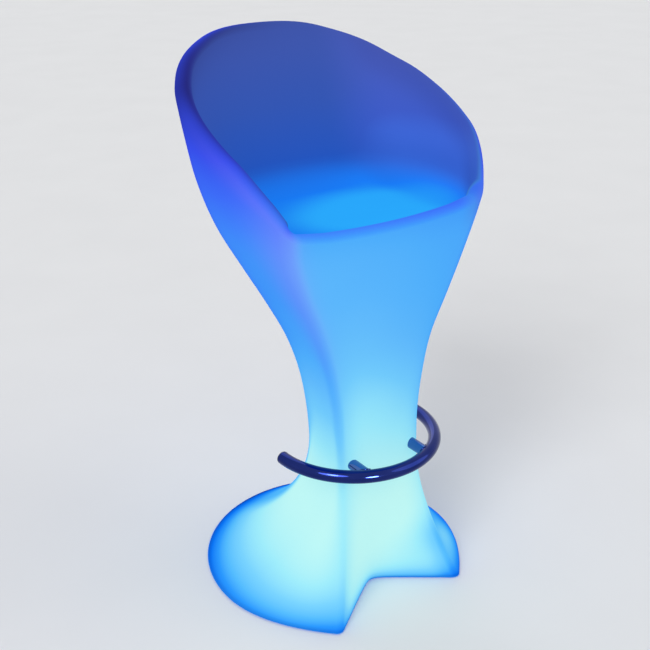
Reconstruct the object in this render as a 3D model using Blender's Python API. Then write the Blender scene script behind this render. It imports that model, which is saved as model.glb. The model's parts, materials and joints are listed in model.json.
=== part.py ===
"""Light-up bar stool: one hollow glowing moulding with a bucket seat, a chrome footrest and a lamp unit.

Metres, +Z up, the front faces -Y. The floor is z = 0 and the origin is below the middle of the stool.
Lengths inside the functions are measured from the stem, a vertical line through the waist, and one
empty, stool_origin, carries every piece back to the middle.
"""
import math

import bmesh
import bpy
from mathutils import Matrix, Vector

for leftover in list(bpy.data.objects):
    bpy.data.objects.remove(leftover, do_unlink=True)

# Overall sizes
TOTAL_HEIGHT = 1.060
WALL = 0.005
GAP = 0.0003
CUT_OVERRUN = 0.004

# Outline of the moulding at the floor, at the waist and at the top of the hood
BASE_HALF_WIDTH = 0.2725
BASE_TOE_SPREAD = 0.150
BASE_BACK_REACH = 0.312
BASE_FRONT_REACH = 0.1975
NOTCH_REACH = 0.095
WAIST_HEIGHT = 0.300
WAIST_HALF_WIDTH = 0.092
WAIST_BACK_REACH = 0.073
WAIST_FRONT_REACH = 0.117
WAIST_BOW = 0.013
HOOD_HALF_WIDTH = 0.287
HOOD_CREASE_SPREAD = 0.224
HOOD_BACK_REACH = 0.308
HOOD_FRONT_REACH = 0.1956
HOOD_BOW = 0.022
WAIST_CREASE_ROUND = 0.012
HOOD_CREASE_ROUND = 0.030
SHARP_CREASE_ROUND = 0.003

# How fast each line of the outline flares from the waist to the floor, as powers
SIDE_FLARE = 2.1
TOE_FLARE = 1.95
BACK_FLARE = 2.27
FRONT_FLARE = 1.55
NOTCH_FLARE = 2.2

# How far each line of the outline has opened, in ten equal steps from the waist to the top
SIDE_RISE_shares = (0, 0.02, 0.07, 0.18, 0.365, 0.573, 0.774, 0.895, 0.941, 0.978, 1)
CREASE_RISE_shares = (0, 0.02, 0.09, 0.22, 0.44, 0.694, 0.882, 0.927, 0.96, 0.997, 1)
BACK_RISE_shares = (0, 0.03, 0.10, 0.20, 0.313, 0.419, 0.541, 0.685, 0.815, 0.906, 1)
FRONT_RISE_shares = (0, -0.04, -0.04, -0.03, 0.06, 0.09, 0.167, 0.382, 0.625, 0.857, 1)
WIDEST_RISE_shares = (0, 0.02, 0.13, 0.32, 0.54, 0.70, 0.76, 0.80, 0.88, 0.95, 1)

# Where the outline is widest, as a share of its depth behind the front
BASE_WIDEST_share = 0.452
WAIST_WIDEST_share = 0.20
HOOD_WIDEST_share = 0.465

# Roundness of the notch between the toes, of the plain front above it, and of the hood's back
NOTCH_ROUND_share = 0.08
FRONT_ROUND_share = 1.2
PLAIN_BACK_share = 1.0
HOOD_BACK_share = 0.89

# Rim and seat
SEAT_HEIGHT = 0.758
RIM_FRONT_RISE = 0.0244
RIM_RADIUS = 0.0145
RIM_FRONT_DIP = 0.0049
RIM_START_REACH = 0.1418
RIM_RISE_shares = (0, 0.215, 0.374, 0.467, 0.547, 0.621, 0.695, 0.763, 0.846, 0.923, 1)
SEAT_DISH = 0.006
SEAT_FILLET_RISE = 0.050
SEAT_FILLET_RUN = 0.040
SEAT_CENTRE_BACK = 0.020

# Underside of the moulding
FOOT_LIFT = 0.002
EDGE_HEIGHT = 0.006
EDGE_ROUND = 0.002
PANEL_RECESS = 0.024
PANEL_SLOPE_RUN = 0.012
FOOT_RING_share = 0.38
LAMP_BACK = 0.060
LAMP_OPENING_RADIUS = 0.070

# Steps of the moulding's skin
QUARTER_STEPS = 12
SIDE_STEPS = 8
ROUND_STEPS = 4
FRONT_STEPS = 8
FLARE_ROWS = 8
STEM_ROWS = 10
HOOD_ROWS = 8
RIM_ROWS = 6
BACKREST_ROWS = 5
FILLET_ROWS = 4
SEAT_ROWS = 4
EDGE_ROWS = 3
HOOD_START_DROP = 0.045
SKIN_THINNING = 2
FLARE_ROW_POWER = 1.3
RIM_SETTLE_STEPS = 20

# Foot pads
PAD_RADIUS = 0.012
PAD_SINK = 0.002
PAD_INSET = 0.034
PAD_BEVEL = 0.0006

# Footrest
FOOTREST_HEIGHT = 0.311
FOOTREST_RADIUS = 0.162
FOOTREST_BACK = -0.024
TUBE_RADIUS = 0.0125
TUBE_WALL = 0.0015
CAP_DOME = 0.004
CAP_PLUG = 0.008
CAP_PLAY = 0.0006
LEG_SPREAD = 0.070
LEG_RADIUS = 0.011
LEG_WALL = 0.0015
BUSH_WALL = 0.0025
BUSH_FRONT = 0.109
BUSH_LENGTH = 0.048
BAR_LENGTH = 0.164
BAR_WIDTH = 0.030
BAR_THICKNESS = 0.004
BAR_ROUND = 0.006
NUT_LENGTH = 0.012
LEG_BOLT_RADIUS = 0.004
LEG_BOLT_HEAD_RADIUS = 0.0075
LEG_BOLT_HEAD = 0.0053

# Lamp unit: plate, gasket and its screws
PLATE_RADIUS = 0.088
PLATE_THICKNESS = 0.0045
PLATE_BEVEL = 0.001
GASKET_THICKNESS = 0.0015
GASKET_INNER_RADIUS = 0.0715
GASKET_OUTER_RADIUS = 0.0865
PLATE_SCREWS = 6
PLATE_SCREW_CIRCLE = 0.079
PLATE_SCREW_RADIUS = 0.0015
PLATE_SCREW_HEAD_RADIUS = 0.0035
PLATE_SCREW_HEAD = 0.0022
INSERT_RADIUS = 0.003
INSERT_FLANGE_RADIUS = 0.0055
INSERT_FLANGE = 0.0015
SCREW_TIP_PAST = 0.002
LIP_HEIGHT = 0.003
LIP_WALL = 0.002

# Lamp unit: dome, posts, light board
DOME_RADIUS = 0.0640
DOME_WALL = 0.0020
DOME_HEIGHT = 0.088
DOME_SHOULDER = 0.040
POSTS = 3
POST_CIRCLE = 0.0545
POST_RADIUS = 0.0035
POST_HEIGHT = 0.0265
BOARD_RADIUS = 0.0585
SPREADER_THICKNESS = 0.0025
BOARD_THICKNESS = 0.0016
BOARD_SCREW_RADIUS = 0.0013
BOARD_SCREW_HEAD_RADIUS = 0.0028
BOARD_SCREW_HEAD = 0.0018
BOARD_SCREW_DEPTH = 0.008
LIGHTS = 8
LIGHT_CIRCLE = 0.040
LIGHT_WIDTH = 0.0050
LIGHT_HEIGHT = 0.0016

# Lamp unit: battery
CELLS = 3
CELL_RADIUS = 0.0092
CELL_LENGTH = 0.065
CELL_PITCH = 0.0190
CELL_TIP_RADIUS = 0.003
CELL_TIP = 0.001
TRAY_WALL = 0.0015
TRAY_HEIGHT = 0.012
STRAP_WIDTH = 0.012
STRAP_THICKNESS = 0.0012

# Lamp unit: control board, socket, buttons and window
CONTROL_LENGTH = 0.052
CONTROL_WIDTH = 0.020
CONTROL_THICKNESS = 0.0016
CONTROL_FRONT = 0.0435
CONTROL_CLEARANCE = 0.0062
CONTROL_BOSS_SPREAD = 0.0225
CONTROL_BOSS_RADIUS = 0.0025
BUTTON_SPREAD = 0.012
BUTTON_PROUD = 0.0022
BUTTON_FLANGE = 0.0012
BUTTON_FLANGE_EDGE = 0.0014
BUTTON_STEM = 0.0020
POWER_BUTTON_RADIUS = 0.0050
MODE_BUTTON_RADIUS = 0.0038
WINDOW_RADIUS = 0.0030
WINDOW_SPREAD = 0.034
WINDOW_BACK = 0.044
WINDOW_FLANGE_EDGE = 0.0012
WINDOW_FLANGE = 0.0010
SOCKET_BACK = 0.0430
SOCKET_LENGTH = 0.014
SOCKET_WIDTH = 0.011
SOCKET_HEIGHT = 0.010
SOCKET_NOSE_RADIUS = 0.0042
SOCKET_BORE_RADIUS = 0.0028
SOCKET_PIN_RADIUS = 0.0010
SOCKET_BORE_DEPTH = 0.0095
FLAP_WIDTH = 0.014
FLAP_LENGTH = 0.0125
FLAP_THICKNESS = 0.0016
LEAD_RADIUS = 0.0010
LEAD_HOLE_RADIUS = 0.0030
LEAD_RISE = 0.004
BATTERY_LEAD_FRONT = 0.012
BATTERY_LEAD_OUT = 0.0045
LIGHT_LEAD_SPREAD = 0.018
LIGHT_LEAD_FRONT = 0.0475

# Facets of round pieces
TUBE_STEPS = 28
TUBE_SIDES = 16
FINE_SIDES = 32
ROUND_SIDES = 20
SMALL_SIDES = 12
DOME_ROWS = 6
CAP_ROWS = 3
BAR_ROUND_STEPS = 3
FLAP_ROUND_STEPS = 6
LEAD_STEPS = 5
SMOOTH_ANGLE = math.radians(35)

# Heights that follow from the sizes above
RIM_FRONT_HEIGHT = SEAT_HEIGHT + RIM_FRONT_RISE
HOOD_START_HEIGHT = RIM_FRONT_HEIGHT - HOOD_START_DROP
PANEL_HEIGHT = FOOT_LIFT + PANEL_RECESS
GASKET_TOP = PANEL_HEIGHT - GAP
PLATE_TOP = GASKET_TOP - GASKET_THICKNESS - GAP
PLATE_BOTTOM = PLATE_TOP - PLATE_THICKNESS
ON_PLATE = PLATE_TOP + GAP
POST_TOP = PLATE_TOP + POST_HEIGHT
SPREADER_TOP = POST_TOP + GAP + SPREADER_THICKNESS
BOARD_TOP = SPREADER_TOP + GAP + BOARD_THICKNESS
CONTROL_BOTTOM = PLATE_TOP + CONTROL_CLEARANCE + GAP
CONTROL_TOP = CONTROL_BOTTOM + CONTROL_THICKNESS
CELL_HEIGHT = ON_PLATE + TRAY_WALL + GAP + CELL_RADIUS
TRAY_HALF_LENGTH = CELL_LENGTH / 2 + GAP + CELL_TIP + GAP + TRAY_WALL
TRAY_HALF_WIDTH = CELL_PITCH * (CELLS - 1) / 2 + CELL_RADIUS + GAP + TRAY_WALL
CONTROL_BACK_EDGE = CONTROL_FRONT - CONTROL_WIDTH / 2


def smooth_step(t):
    """An even S from 0 to 1."""
    t = min(max(t, 0), 1)
    return t * t * (3 - 2 * t)


def along(shares, t):
    """Read a row of evenly spaced shares at t, from 0 to 1, on a smooth curve through them."""
    last = len(shares) - 1
    place = min(max(t, 0), 1) * last
    k = min(int(place), last - 1)
    f = place - k
    before, start, end, after = (shares[min(max(k + step, 0), last)] for step in (-1, 0, 1, 2))
    leave = (end - before) / 2
    arrive = (after - start) / 2
    return (start * (1 + 2 * f) * (1 - f) ** 2 + leave * f * (1 - f) ** 2
            + end * f * f * (3 - 2 * f) - arrive * f * f * (1 - f))


def mix(a, b, t):
    return a + (b - a) * t


def outline_sizes(z):
    """Half width, crease spread, reaches, widest line, front bow and the roundings at height z."""
    if z < WAIST_HEIGHT:
        t = 1 - z / WAIST_HEIGHT
        side = mix(WAIST_HALF_WIDTH, BASE_HALF_WIDTH, t ** SIDE_FLARE)
        crease = mix(WAIST_HALF_WIDTH, BASE_TOE_SPREAD, t ** TOE_FLARE)
        back = mix(WAIST_BACK_REACH, BASE_BACK_REACH, t ** BACK_FLARE)
        front = mix(WAIST_FRONT_REACH, BASE_FRONT_REACH, t ** FRONT_FLARE)
        widest_share = mix(WAIST_WIDEST_share, BASE_WIDEST_share, smooth_step(t))
        bow = mix(WAIST_FRONT_REACH + WAIST_BOW, NOTCH_REACH, t ** NOTCH_FLARE) - front
        round_share = mix(FRONT_ROUND_share, NOTCH_ROUND_share, t)
        back_share = PLAIN_BACK_share
        crease_round = WAIST_CREASE_ROUND
    else:
        t = (z - WAIST_HEIGHT) / (TOTAL_HEIGHT - WAIST_HEIGHT)
        side = mix(WAIST_HALF_WIDTH, HOOD_HALF_WIDTH, along(SIDE_RISE_shares, t))
        crease = mix(WAIST_HALF_WIDTH, HOOD_CREASE_SPREAD, along(CREASE_RISE_shares, t))
        back = mix(WAIST_BACK_REACH, HOOD_BACK_REACH, along(BACK_RISE_shares, t))
        front = mix(WAIST_FRONT_REACH, HOOD_FRONT_REACH, along(FRONT_RISE_shares, t))
        widest_share = mix(WAIST_WIDEST_share, HOOD_WIDEST_share, along(WIDEST_RISE_shares, t))
        bow = mix(WAIST_BOW, HOOD_BOW, t)
        round_share = FRONT_ROUND_share
        back_share = mix(PLAIN_BACK_share, HOOD_BACK_share, t)
        crease_round = mix(WAIST_CREASE_ROUND, HOOD_CREASE_ROUND, t)
    return side, crease, back, front, widest_share, bow, round_share, back_share, crease_round


def half_outline(z, inset=0):
    """The right half of the outline at height z, from the middle of the back to the middle of the front."""
    side, crease, back, front, widest_share, bow, round_share, back_share, crease_round = outline_sizes(z)
    widest = -front + widest_share * (back + front)
    turn = math.atan2(widest + front, 2 * (side - crease))
    side, back, front = side - inset, back - inset, front - inset
    crease = crease - inset * math.tan(turn / 2)
    crease_round = max(crease_round - inset, SHARP_CREASE_ROUND)
    flank = side - crease
    run = widest + front
    trim_side = 1 - crease_round / math.hypot(2 * flank, run)
    trim_front = 1 - crease_round / crease
    steep = math.sqrt(1 + round_share ** 2) - round_share

    def flank_point(s):
        return Vector((side - flank * s * s, widest - run * s))

    def front_point(s):
        lift = 1 - (math.sqrt(s * s + round_share ** 2) - round_share) / steep
        return Vector((crease * s, -front - bow * lift))

    points = []
    for i in range(QUARTER_STEPS):
        a = math.pi / 2 * i / QUARTER_STEPS
        points.append(Vector((side * math.sin(a) ** back_share,
                              widest + (back - widest) * math.cos(a) ** back_share)))
    for i in range(SIDE_STEPS):
        points.append(flank_point(trim_side * i / SIDE_STEPS))
    corner = Vector((crease, -front))
    for i in range(ROUND_STEPS):
        t = i / ROUND_STEPS
        points.append(flank_point(trim_side) * (1 - t) ** 2 + corner * 2 * t * (1 - t)
                      + front_point(trim_front) * t * t)
    for i in range(FRONT_STEPS + 1):
        points.append(front_point(trim_front * (1 - i / FRONT_STEPS)))
    return points


HALF_STEPS = QUARTER_STEPS + SIDE_STEPS + ROUND_STEPS + FRONT_STEPS
STATIONS = 2 * HALF_STEPS
TOE_STATION = QUARTER_STEPS + SIDE_STEPS + ROUND_STEPS // 2
SIDE_STATION = HALF_STEPS // 3


def outline_point(station, z, inset=0):
    """One point of the outline at height z. Station 0 is the back, and stations run by +X to the front."""
    j = station % STATIONS
    if j <= HALF_STEPS:
        p = half_outline(z, inset)[j]
        return Vector((p.x, p.y, z))
    p = half_outline(z, inset)[STATIONS - j]
    return Vector((-p.x, p.y, z))


def whole_outline(z, inset=0):
    right = half_outline(z, inset)
    left = [Vector((-p.x, p.y)) for p in reversed(right[1:HALF_STEPS])]
    return [Vector((p.x, p.y, z)) for p in right + left]


def rim_height(p):
    """Height of the rim's crest above a point of the plan: level at the front, climbing to the back."""
    climb = along(RIM_RISE_shares, (p.y + RIM_START_REACH) / (RIM_START_REACH + HOOD_BACK_REACH))
    spread = outline_sizes(RIM_FRONT_HEIGHT)[1]
    dip = RIM_FRONT_DIP * max(0, 1 - (p.x / spread) ** 2) if p.y < 0 else 0
    return RIM_FRONT_HEIGHT - dip + (TOTAL_HEIGHT - RIM_FRONT_HEIGHT) * climb


def rim_base(station):
    """Height where the outside wall meets the rim's roll."""
    z = RIM_FRONT_HEIGHT
    for _ in range(RIM_SETTLE_STEPS):
        z = rim_height(outline_point(station, z - RIM_RADIUS))
    return z - RIM_RADIUS


def underside_rows():
    """Rows of the skin from the lamp opening out to the bottom edge, along rays from the lamp's axis."""
    centre = Vector((0, LAMP_BACK, 0))
    edge = whole_outline(EDGE_HEIGHT)
    tip = whole_outline(FOOT_LIFT)
    opening, panel, ring_in, ring_out = [], [], [], []
    for p in edge:
        reach = Vector((p.x, p.y, 0)) - centre
        ray = reach.normalized()
        foot = reach.length - EDGE_ROUND
        ring = foot - FOOT_RING_share * (foot - LAMP_OPENING_RADIUS)
        for row, radius, height in (
                (opening, LAMP_OPENING_RADIUS, PANEL_HEIGHT),
                (panel, ring - PANEL_SLOPE_RUN, PANEL_HEIGHT),
                (ring_in, ring, FOOT_LIFT),
                (ring_out, foot, FOOT_LIFT)):
            row.append(centre + ray * radius + Vector((0, 0, height)))
    rows = [opening, panel, ring_in]
    for i in range(EDGE_ROWS):
        t = i / EDGE_ROWS
        rows.append([a * (1 - t) ** 2 + b * 2 * t * (1 - t) + c * t * t
                     for a, b, c in zip(ring_out, tip, edge)])
    return rows


def outside_rows():
    """Rows from the bottom edge up the outside to the foot of the rim's roll."""
    rows = []
    for i in range(FLARE_ROWS):
        t = i / FLARE_ROWS
        rows.append(whole_outline(mix(EDGE_HEIGHT, WAIST_HEIGHT, t ** FLARE_ROW_POWER)))
    for i in range(STEM_ROWS):
        rows.append(whole_outline(mix(WAIST_HEIGHT, HOOD_START_HEIGHT, i / STEM_ROWS)))
    tops = [rim_base(j) for j in range(STATIONS)]
    for i in range(HOOD_ROWS + 1):
        t = i / HOOD_ROWS
        rows.append([outline_point(j, mix(HOOD_START_HEIGHT, tops[j], t)) for j in range(STATIONS)])
    return rows, tops


def rim_rows(outer, tops):
    """Rows round the rim's roll, from its outer side to its inner side."""
    inner = [outline_point(j, tops[j], 2 * RIM_RADIUS) for j in range(STATIONS)]
    rows = []
    for i in range(1, RIM_ROWS + 1):
        a = math.pi * i / RIM_ROWS
        across = (1 - math.cos(a)) / 2
        rows.append([p.lerp(q, across) + Vector((0, 0, RIM_RADIUS * math.sin(a)))
                     for p, q in zip(outer, inner)])
    return rows


def bowl_rows(tops):
    """Rows down the inside of the hood and across the seat, and the seat's middle point."""
    bends = []
    for top in tops:
        drop = top - SEAT_HEIGHT
        bends.append(SEAT_HEIGHT + drop * SEAT_FILLET_RISE / (drop + SEAT_FILLET_RISE))
    rows = []
    for i in range(1, BACKREST_ROWS + 1):
        t = i / BACKREST_ROWS
        rows.append([outline_point(j, mix(tops[j], bends[j], t), 2 * RIM_RADIUS)
                     for j in range(STATIONS)])
    centre = Vector((0, SEAT_CENTRE_BACK, SEAT_HEIGHT))
    corner = [outline_point(j, SEAT_HEIGHT, 2 * RIM_RADIUS) for j in range(STATIONS)]
    floor = [q + (centre - q).normalized() * SEAT_FILLET_RUN for q in corner]
    for i in range(1, FILLET_ROWS + 1):
        t = i / FILLET_ROWS
        rows.append([a * (1 - t) ** 2 + b * 2 * t * (1 - t) + c * t * t
                     for a, b, c in zip(rows[BACKREST_ROWS - 1], corner, floor)])
    for i in range(1, SEAT_ROWS):
        r = 1 - i / SEAT_ROWS
        sink = Vector((0, 0, SEAT_DISH * (1 - r * r) ** 2))
        rows.append([centre.lerp(q, r) - sink for q in floor])
    return rows, centre - Vector((0, 0, SEAT_DISH))


def inner_skin(rows, pole):
    """The cavity's skin: a thinned copy of the rows, moved one wall inwards, square to the surface."""
    count = len(rows[0])

    def face_normal(i, j):
        a, b = rows[i][j % count], rows[i][(j + 1) % count]
        c, d = rows[i + 1][(j + 1) % count], rows[i + 1][j % count]
        return (d - b).cross(c - a).normalized()

    moved = [[p + Vector((0, 0, WALL)) for p in rows[0]]]
    for i in range(1, len(rows)):
        row = []
        for j in range(count):
            faces = [face_normal(i - 1, j - 1), face_normal(i - 1, j)]
            if i + 1 < len(rows):
                faces += [face_normal(i, j - 1), face_normal(i, j)]
            mean = sum(faces, Vector()) / len(faces)
            row.append(rows[i][j] - mean * (WALL / mean.length_squared))
        moved.append(row)
    return moved, pole - Vector((0, 0, WALL))


def moulded_shell():
    """The moulding as one closed skin: outside, rim, bowl and seat, and the cavity behind them."""
    under = underside_rows()
    outside, tops = outside_rows()
    rim = rim_rows(outside[-1], tops)
    bowl, seat_middle = bowl_rows(tops)
    rows = under + outside + rim + bowl

    first_rim = len(under) + len(outside)
    kept = list(range(len(under) - EDGE_ROWS + 1))
    kept += range(len(under) + 1, first_rim - 1, SKIN_THINNING)
    kept += range(first_rim - 1, len(rows), SKIN_THINNING)
    thinned = [rows[i][::SKIN_THINNING] for i in kept]
    cavity, cavity_middle = inner_skin(thinned, seat_middle)

    bm = bmesh.new()

    def skin(grid, middle, outward):
        verts = [[bm.verts.new(p) for p in row] for row in grid]
        for lower, upper in zip(verts, verts[1:]):
            for j in range(len(lower)):
                k = (j + 1) % len(lower)
                face = (lower[j], upper[j], upper[k], lower[k])
                bm.faces.new(face if outward else face[::-1])
        last = verts[-1]
        tip = bm.verts.new(middle)
        for j in range(len(last)):
            face = (last[j], tip, last[(j + 1) % len(last)])
            bm.faces.new(face if outward else face[::-1])
        return verts[0]

    outer_edge = skin(rows, seat_middle, True)
    inner_edge = skin(cavity, cavity_middle, False)
    for k in range(len(inner_edge)):
        j = SKIN_THINNING * k
        near, far = inner_edge[k], inner_edge[(k + 1) % len(inner_edge)]
        ring = [outer_edge[(j + step) % len(outer_edge)] for step in range(SKIN_THINNING + 1)]
        bm.faces.new((near, ring[-1], far))
        for a, b in zip(ring, ring[1:]):
            bm.faces.new((near, a, b))
    return finished("moulded_shell", bm, "glow_plastic")


# Materials: colour, roughness and metallic of each finish
FINISHES = {
    "glow_plastic": ((0.52, 0.80, 1.00), 0.38, 0.0),
    "chrome": ((0.80, 0.80, 0.84), 0.10, 1.0),
    "black_plastic": ((0.03, 0.03, 0.035), 0.45, 0.0),
    "white_plastic": ((0.86, 0.87, 0.88), 0.40, 0.0),
    "clear_diffuser": ((0.90, 0.95, 1.00), 0.30, 0.0),
    "grey_rubber": ((0.09, 0.09, 0.10), 0.80, 0.0),
    "steel": ((0.56, 0.57, 0.58), 0.35, 1.0),
    "brass": ((0.72, 0.56, 0.24), 0.35, 1.0),
    "aluminium": ((0.78, 0.79, 0.80), 0.40, 1.0),
    "circuit_board": ((0.05, 0.30, 0.14), 0.50, 0.0),
    "light_board_white": ((0.90, 0.90, 0.88), 0.45, 0.0),
    "light_chip": ((0.95, 0.93, 0.62), 0.30, 0.0),
    "cell_wrap": ((0.10, 0.22, 0.62), 0.40, 0.0),
    "window_red": ((0.25, 0.02, 0.03), 0.20, 0.0),
    "lead_red": ((0.60, 0.04, 0.04), 0.55, 0.0),
    "lead_white": ((0.82, 0.82, 0.80), 0.55, 0.0),
}


def material(finish):
    found = bpy.data.materials.get(finish)
    if found:
        return found
    colour, roughness, metallic = FINISHES[finish]
    made = bpy.data.materials.new(finish)
    made.use_nodes = True
    shader = made.node_tree.nodes["Principled BSDF"]
    shader.inputs["Base Color"].default_value = (*colour, 1)
    shader.inputs["Roughness"].default_value = roughness
    shader.inputs["Metallic"].default_value = metallic
    return made


origin = bpy.data.objects.new("stool_origin", None)
bpy.context.scene.collection.objects.link(origin)


def finished(name, bm, finish=None, at=(0, 0, 0), smooth=True):
    """Turn a bmesh into a named object on the stool's origin; without a finish it is a cutter."""
    mesh = bpy.data.meshes.new(name)
    bm.normal_update()
    bm.to_mesh(mesh)
    bm.free()
    if smooth:
        mesh.shade_smooth()
        mesh.set_sharp_from_angle(angle=SMOOTH_ANGLE)
    made = bpy.data.objects.new(name, mesh)
    bpy.context.scene.collection.objects.link(made)
    made.parent = origin
    made.location = at
    if finish:
        mesh.materials.append(material(finish))
    else:
        made.hide_render = True
        made.display_type = "WIRE"
    return made


def cut(target, cutter, operation="DIFFERENCE"):
    step = target.modifiers.new(cutter.name, "BOOLEAN")
    step.operation = operation
    step.solver = "EXACT"
    step.object = cutter


def turn(bm, profile, sides, matrix=Matrix(), hollow=False):
    """Turn (radius, height) points about Z. A hollow profile is a closed loop; another ends on the axis."""
    rings = []
    for radius, height in profile:
        if radius == 0:
            rings.append([bm.verts.new(matrix @ Vector((0, 0, height)))])
        else:
            rings.append([bm.verts.new(matrix @ Vector((radius * math.cos(a), radius * math.sin(a), height)))
                          for a in (math.tau * (i + 0.5) / sides for i in range(sides))])
    pairs = list(zip(rings, rings[1:]))
    if hollow:
        pairs.append((rings[-1], rings[0]))
    for low, high in pairs:
        for i in range(sides):
            k = (i + 1) % sides
            face = [low[i % len(low)], low[k % len(low)], high[k % len(high)], high[i % len(high)]]
            unique = [v for n, v in enumerate(face) if v not in face[:n]]
            if len(unique) > 2:
                bm.faces.new(unique)
    return bm


def rod(radius, low, high):
    """Profile of a plain round rod between two heights."""
    return [(0, low), (radius, low), (radius, high), (0, high)]


def pipe(outer, inner, low, high):
    """Profile of a round pipe between two heights."""
    return [(outer, low), (outer, high), (inner, high), (inner, low)]


def box(bm, low, high):
    made = bmesh.ops.create_cube(bm, size=1)["verts"]
    for v in made:
        v.co = Vector(tuple(mix(a, b, c + 0.5) for a, b, c in zip(low, high, v.co)))
    return made


def about_y(x, z):
    """Place a turned piece so its axis runs along +Y through (x, z)."""
    return Matrix.Translation((x, 0, z)) @ Matrix.Rotation(-math.pi / 2, 4, "X")


def lamp_point(x, y, z=0):
    """A point measured from the lamp's axis."""
    return Vector((x, LAMP_BACK + y, z))


def upright(point):
    return Matrix.Translation((point.x, point.y, 0))


def pad_places():
    """Middles of the foot pads: on both toes, on both sides and at the back."""
    places = {}
    for name, station in (("back", 0), ("right", SIDE_STATION), ("left", -SIDE_STATION),
                          ("front_right", TOE_STATION), ("front_left", -TOE_STATION)):
        edge = outline_point(station, EDGE_HEIGHT)
        reach = Vector((edge.x, edge.y, 0)) - lamp_point(0, 0)
        places[name] = lamp_point(0, 0) + reach.normalized() * (reach.length - PAD_INSET)
    return places


def circle_places(count, radius, start=0.0):
    """Places evenly round the lamp's axis, the first at the angle start from +X."""
    return [lamp_point(radius * math.cos(start + math.tau * i / count),
                       radius * math.sin(start + math.tau * i / count)) for i in range(count)]


SCREW_PLACES = circle_places(PLATE_SCREWS, PLATE_SCREW_CIRCLE, math.pi / PLATE_SCREWS)
POST_PLACES = circle_places(POSTS, POST_CIRCLE, math.pi / 2)
LIGHT_PLACES = circle_places(LIGHTS, LIGHT_CIRCLE, math.pi / LIGHTS)


def shell_and_pads():
    shell = moulded_shell()
    legs = bmesh.new()
    for side in (-1, 1):
        turn(legs, rod(LEG_RADIUS + GAP, -FOOTREST_RADIUS, -BUSH_FRONT + WALL), ROUND_SIDES,
             about_y(side * LEG_SPREAD, FOOTREST_HEIGHT))
    cut(shell, finished("leg_holes", legs, smooth=False))
    small = bmesh.new()
    for place in SCREW_PLACES:
        turn(small, rod(INSERT_RADIUS + GAP, PANEL_HEIGHT - CUT_OVERRUN, PANEL_HEIGHT + WALL + CUT_OVERRUN),
             SMALL_SIDES, upright(place))
    cut(shell, finished("insert_holes", small, smooth=False))
    sinks = bmesh.new()
    for place in pad_places().values():
        turn(sinks, rod(PAD_RADIUS + GAP, FOOT_LIFT - CUT_OVERRUN, FOOT_LIFT + PAD_SINK), ROUND_SIDES,
             upright(place))
    cut(shell, finished("pad_sinks", sinks, smooth=False))
    for name, place in pad_places().items():
        top = FOOT_LIFT + PAD_SINK - GAP
        profile = [(0, 0), (PAD_RADIUS - PAD_BEVEL, 0), (PAD_RADIUS, PAD_BEVEL), (PAD_RADIUS, top), (0, top)]
        finished("foot_pad_" + name, turn(bmesh.new(), profile, ROUND_SIDES), "grey_rubber", place)


def ring_frame(angle, radius):
    """Centre and outward direction of the footrest's ring at an angle from +X."""
    out = Vector((math.cos(angle), math.sin(angle), 0))
    return Vector((0, FOOTREST_BACK, FOOTREST_HEIGHT)) + out * radius, out


def arc_tube(bm, radius, sides):
    """Rings of points along the footrest's half circle, from its left end round the front to its right."""
    rings = []
    for i in range(TUBE_STEPS + 1):
        centre, out = ring_frame(math.pi * (1 + i / TUBE_STEPS), FOOTREST_RADIUS)
        rings.append([bm.verts.new(centre + out * radius * math.cos(math.tau * k / sides)
                                   + Vector((0, 0, radius * math.sin(math.tau * k / sides))))
                      for k in range(sides)])
    return rings


def footrest_ring():
    bm = bmesh.new()
    outer = arc_tube(bm, TUBE_RADIUS, TUBE_SIDES)
    inner = arc_tube(bm, TUBE_RADIUS - TUBE_WALL, TUBE_SIDES)
    for rings, flip in ((outer, True), (inner, False)):
        for a, b in zip(rings, rings[1:]):
            for k in range(TUBE_SIDES):
                n = (k + 1) % TUBE_SIDES
                face = (a[k], b[k], b[n], a[n])
                bm.faces.new(face if flip else face[::-1])
    for end, flip in ((0, False), (-1, True)):
        for k in range(TUBE_SIDES):
            n = (k + 1) % TUBE_SIDES
            face = (outer[end][k], inner[end][k], inner[end][n], outer[end][n])
            bm.faces.new(face if flip else face[::-1])
    finished("footrest_ring", bm, "chrome")
    bore = TUBE_RADIUS - TUBE_WALL - CAP_PLAY
    for name, side in (("left", -1), ("right", 1)):
        profile = [(0, -CAP_PLUG), (bore, -CAP_PLUG), (bore, GAP)]
        for i in range(CAP_ROWS):
            a = math.pi / 2 * i / CAP_ROWS
            profile.append((TUBE_RADIUS * math.cos(a), GAP + CAP_DOME * math.sin(a)))
        profile.append((0, GAP + CAP_DOME))
        place = Matrix.Translation((side * FOOTREST_RADIUS, FOOTREST_BACK, FOOTREST_HEIGHT))
        cap = turn(bmesh.new(), profile, TUBE_SIDES, place @ Matrix.Rotation(-math.pi / 2, 4, "X"))
        finished("ring_cap_" + name, cap, "black_plastic")


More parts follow.
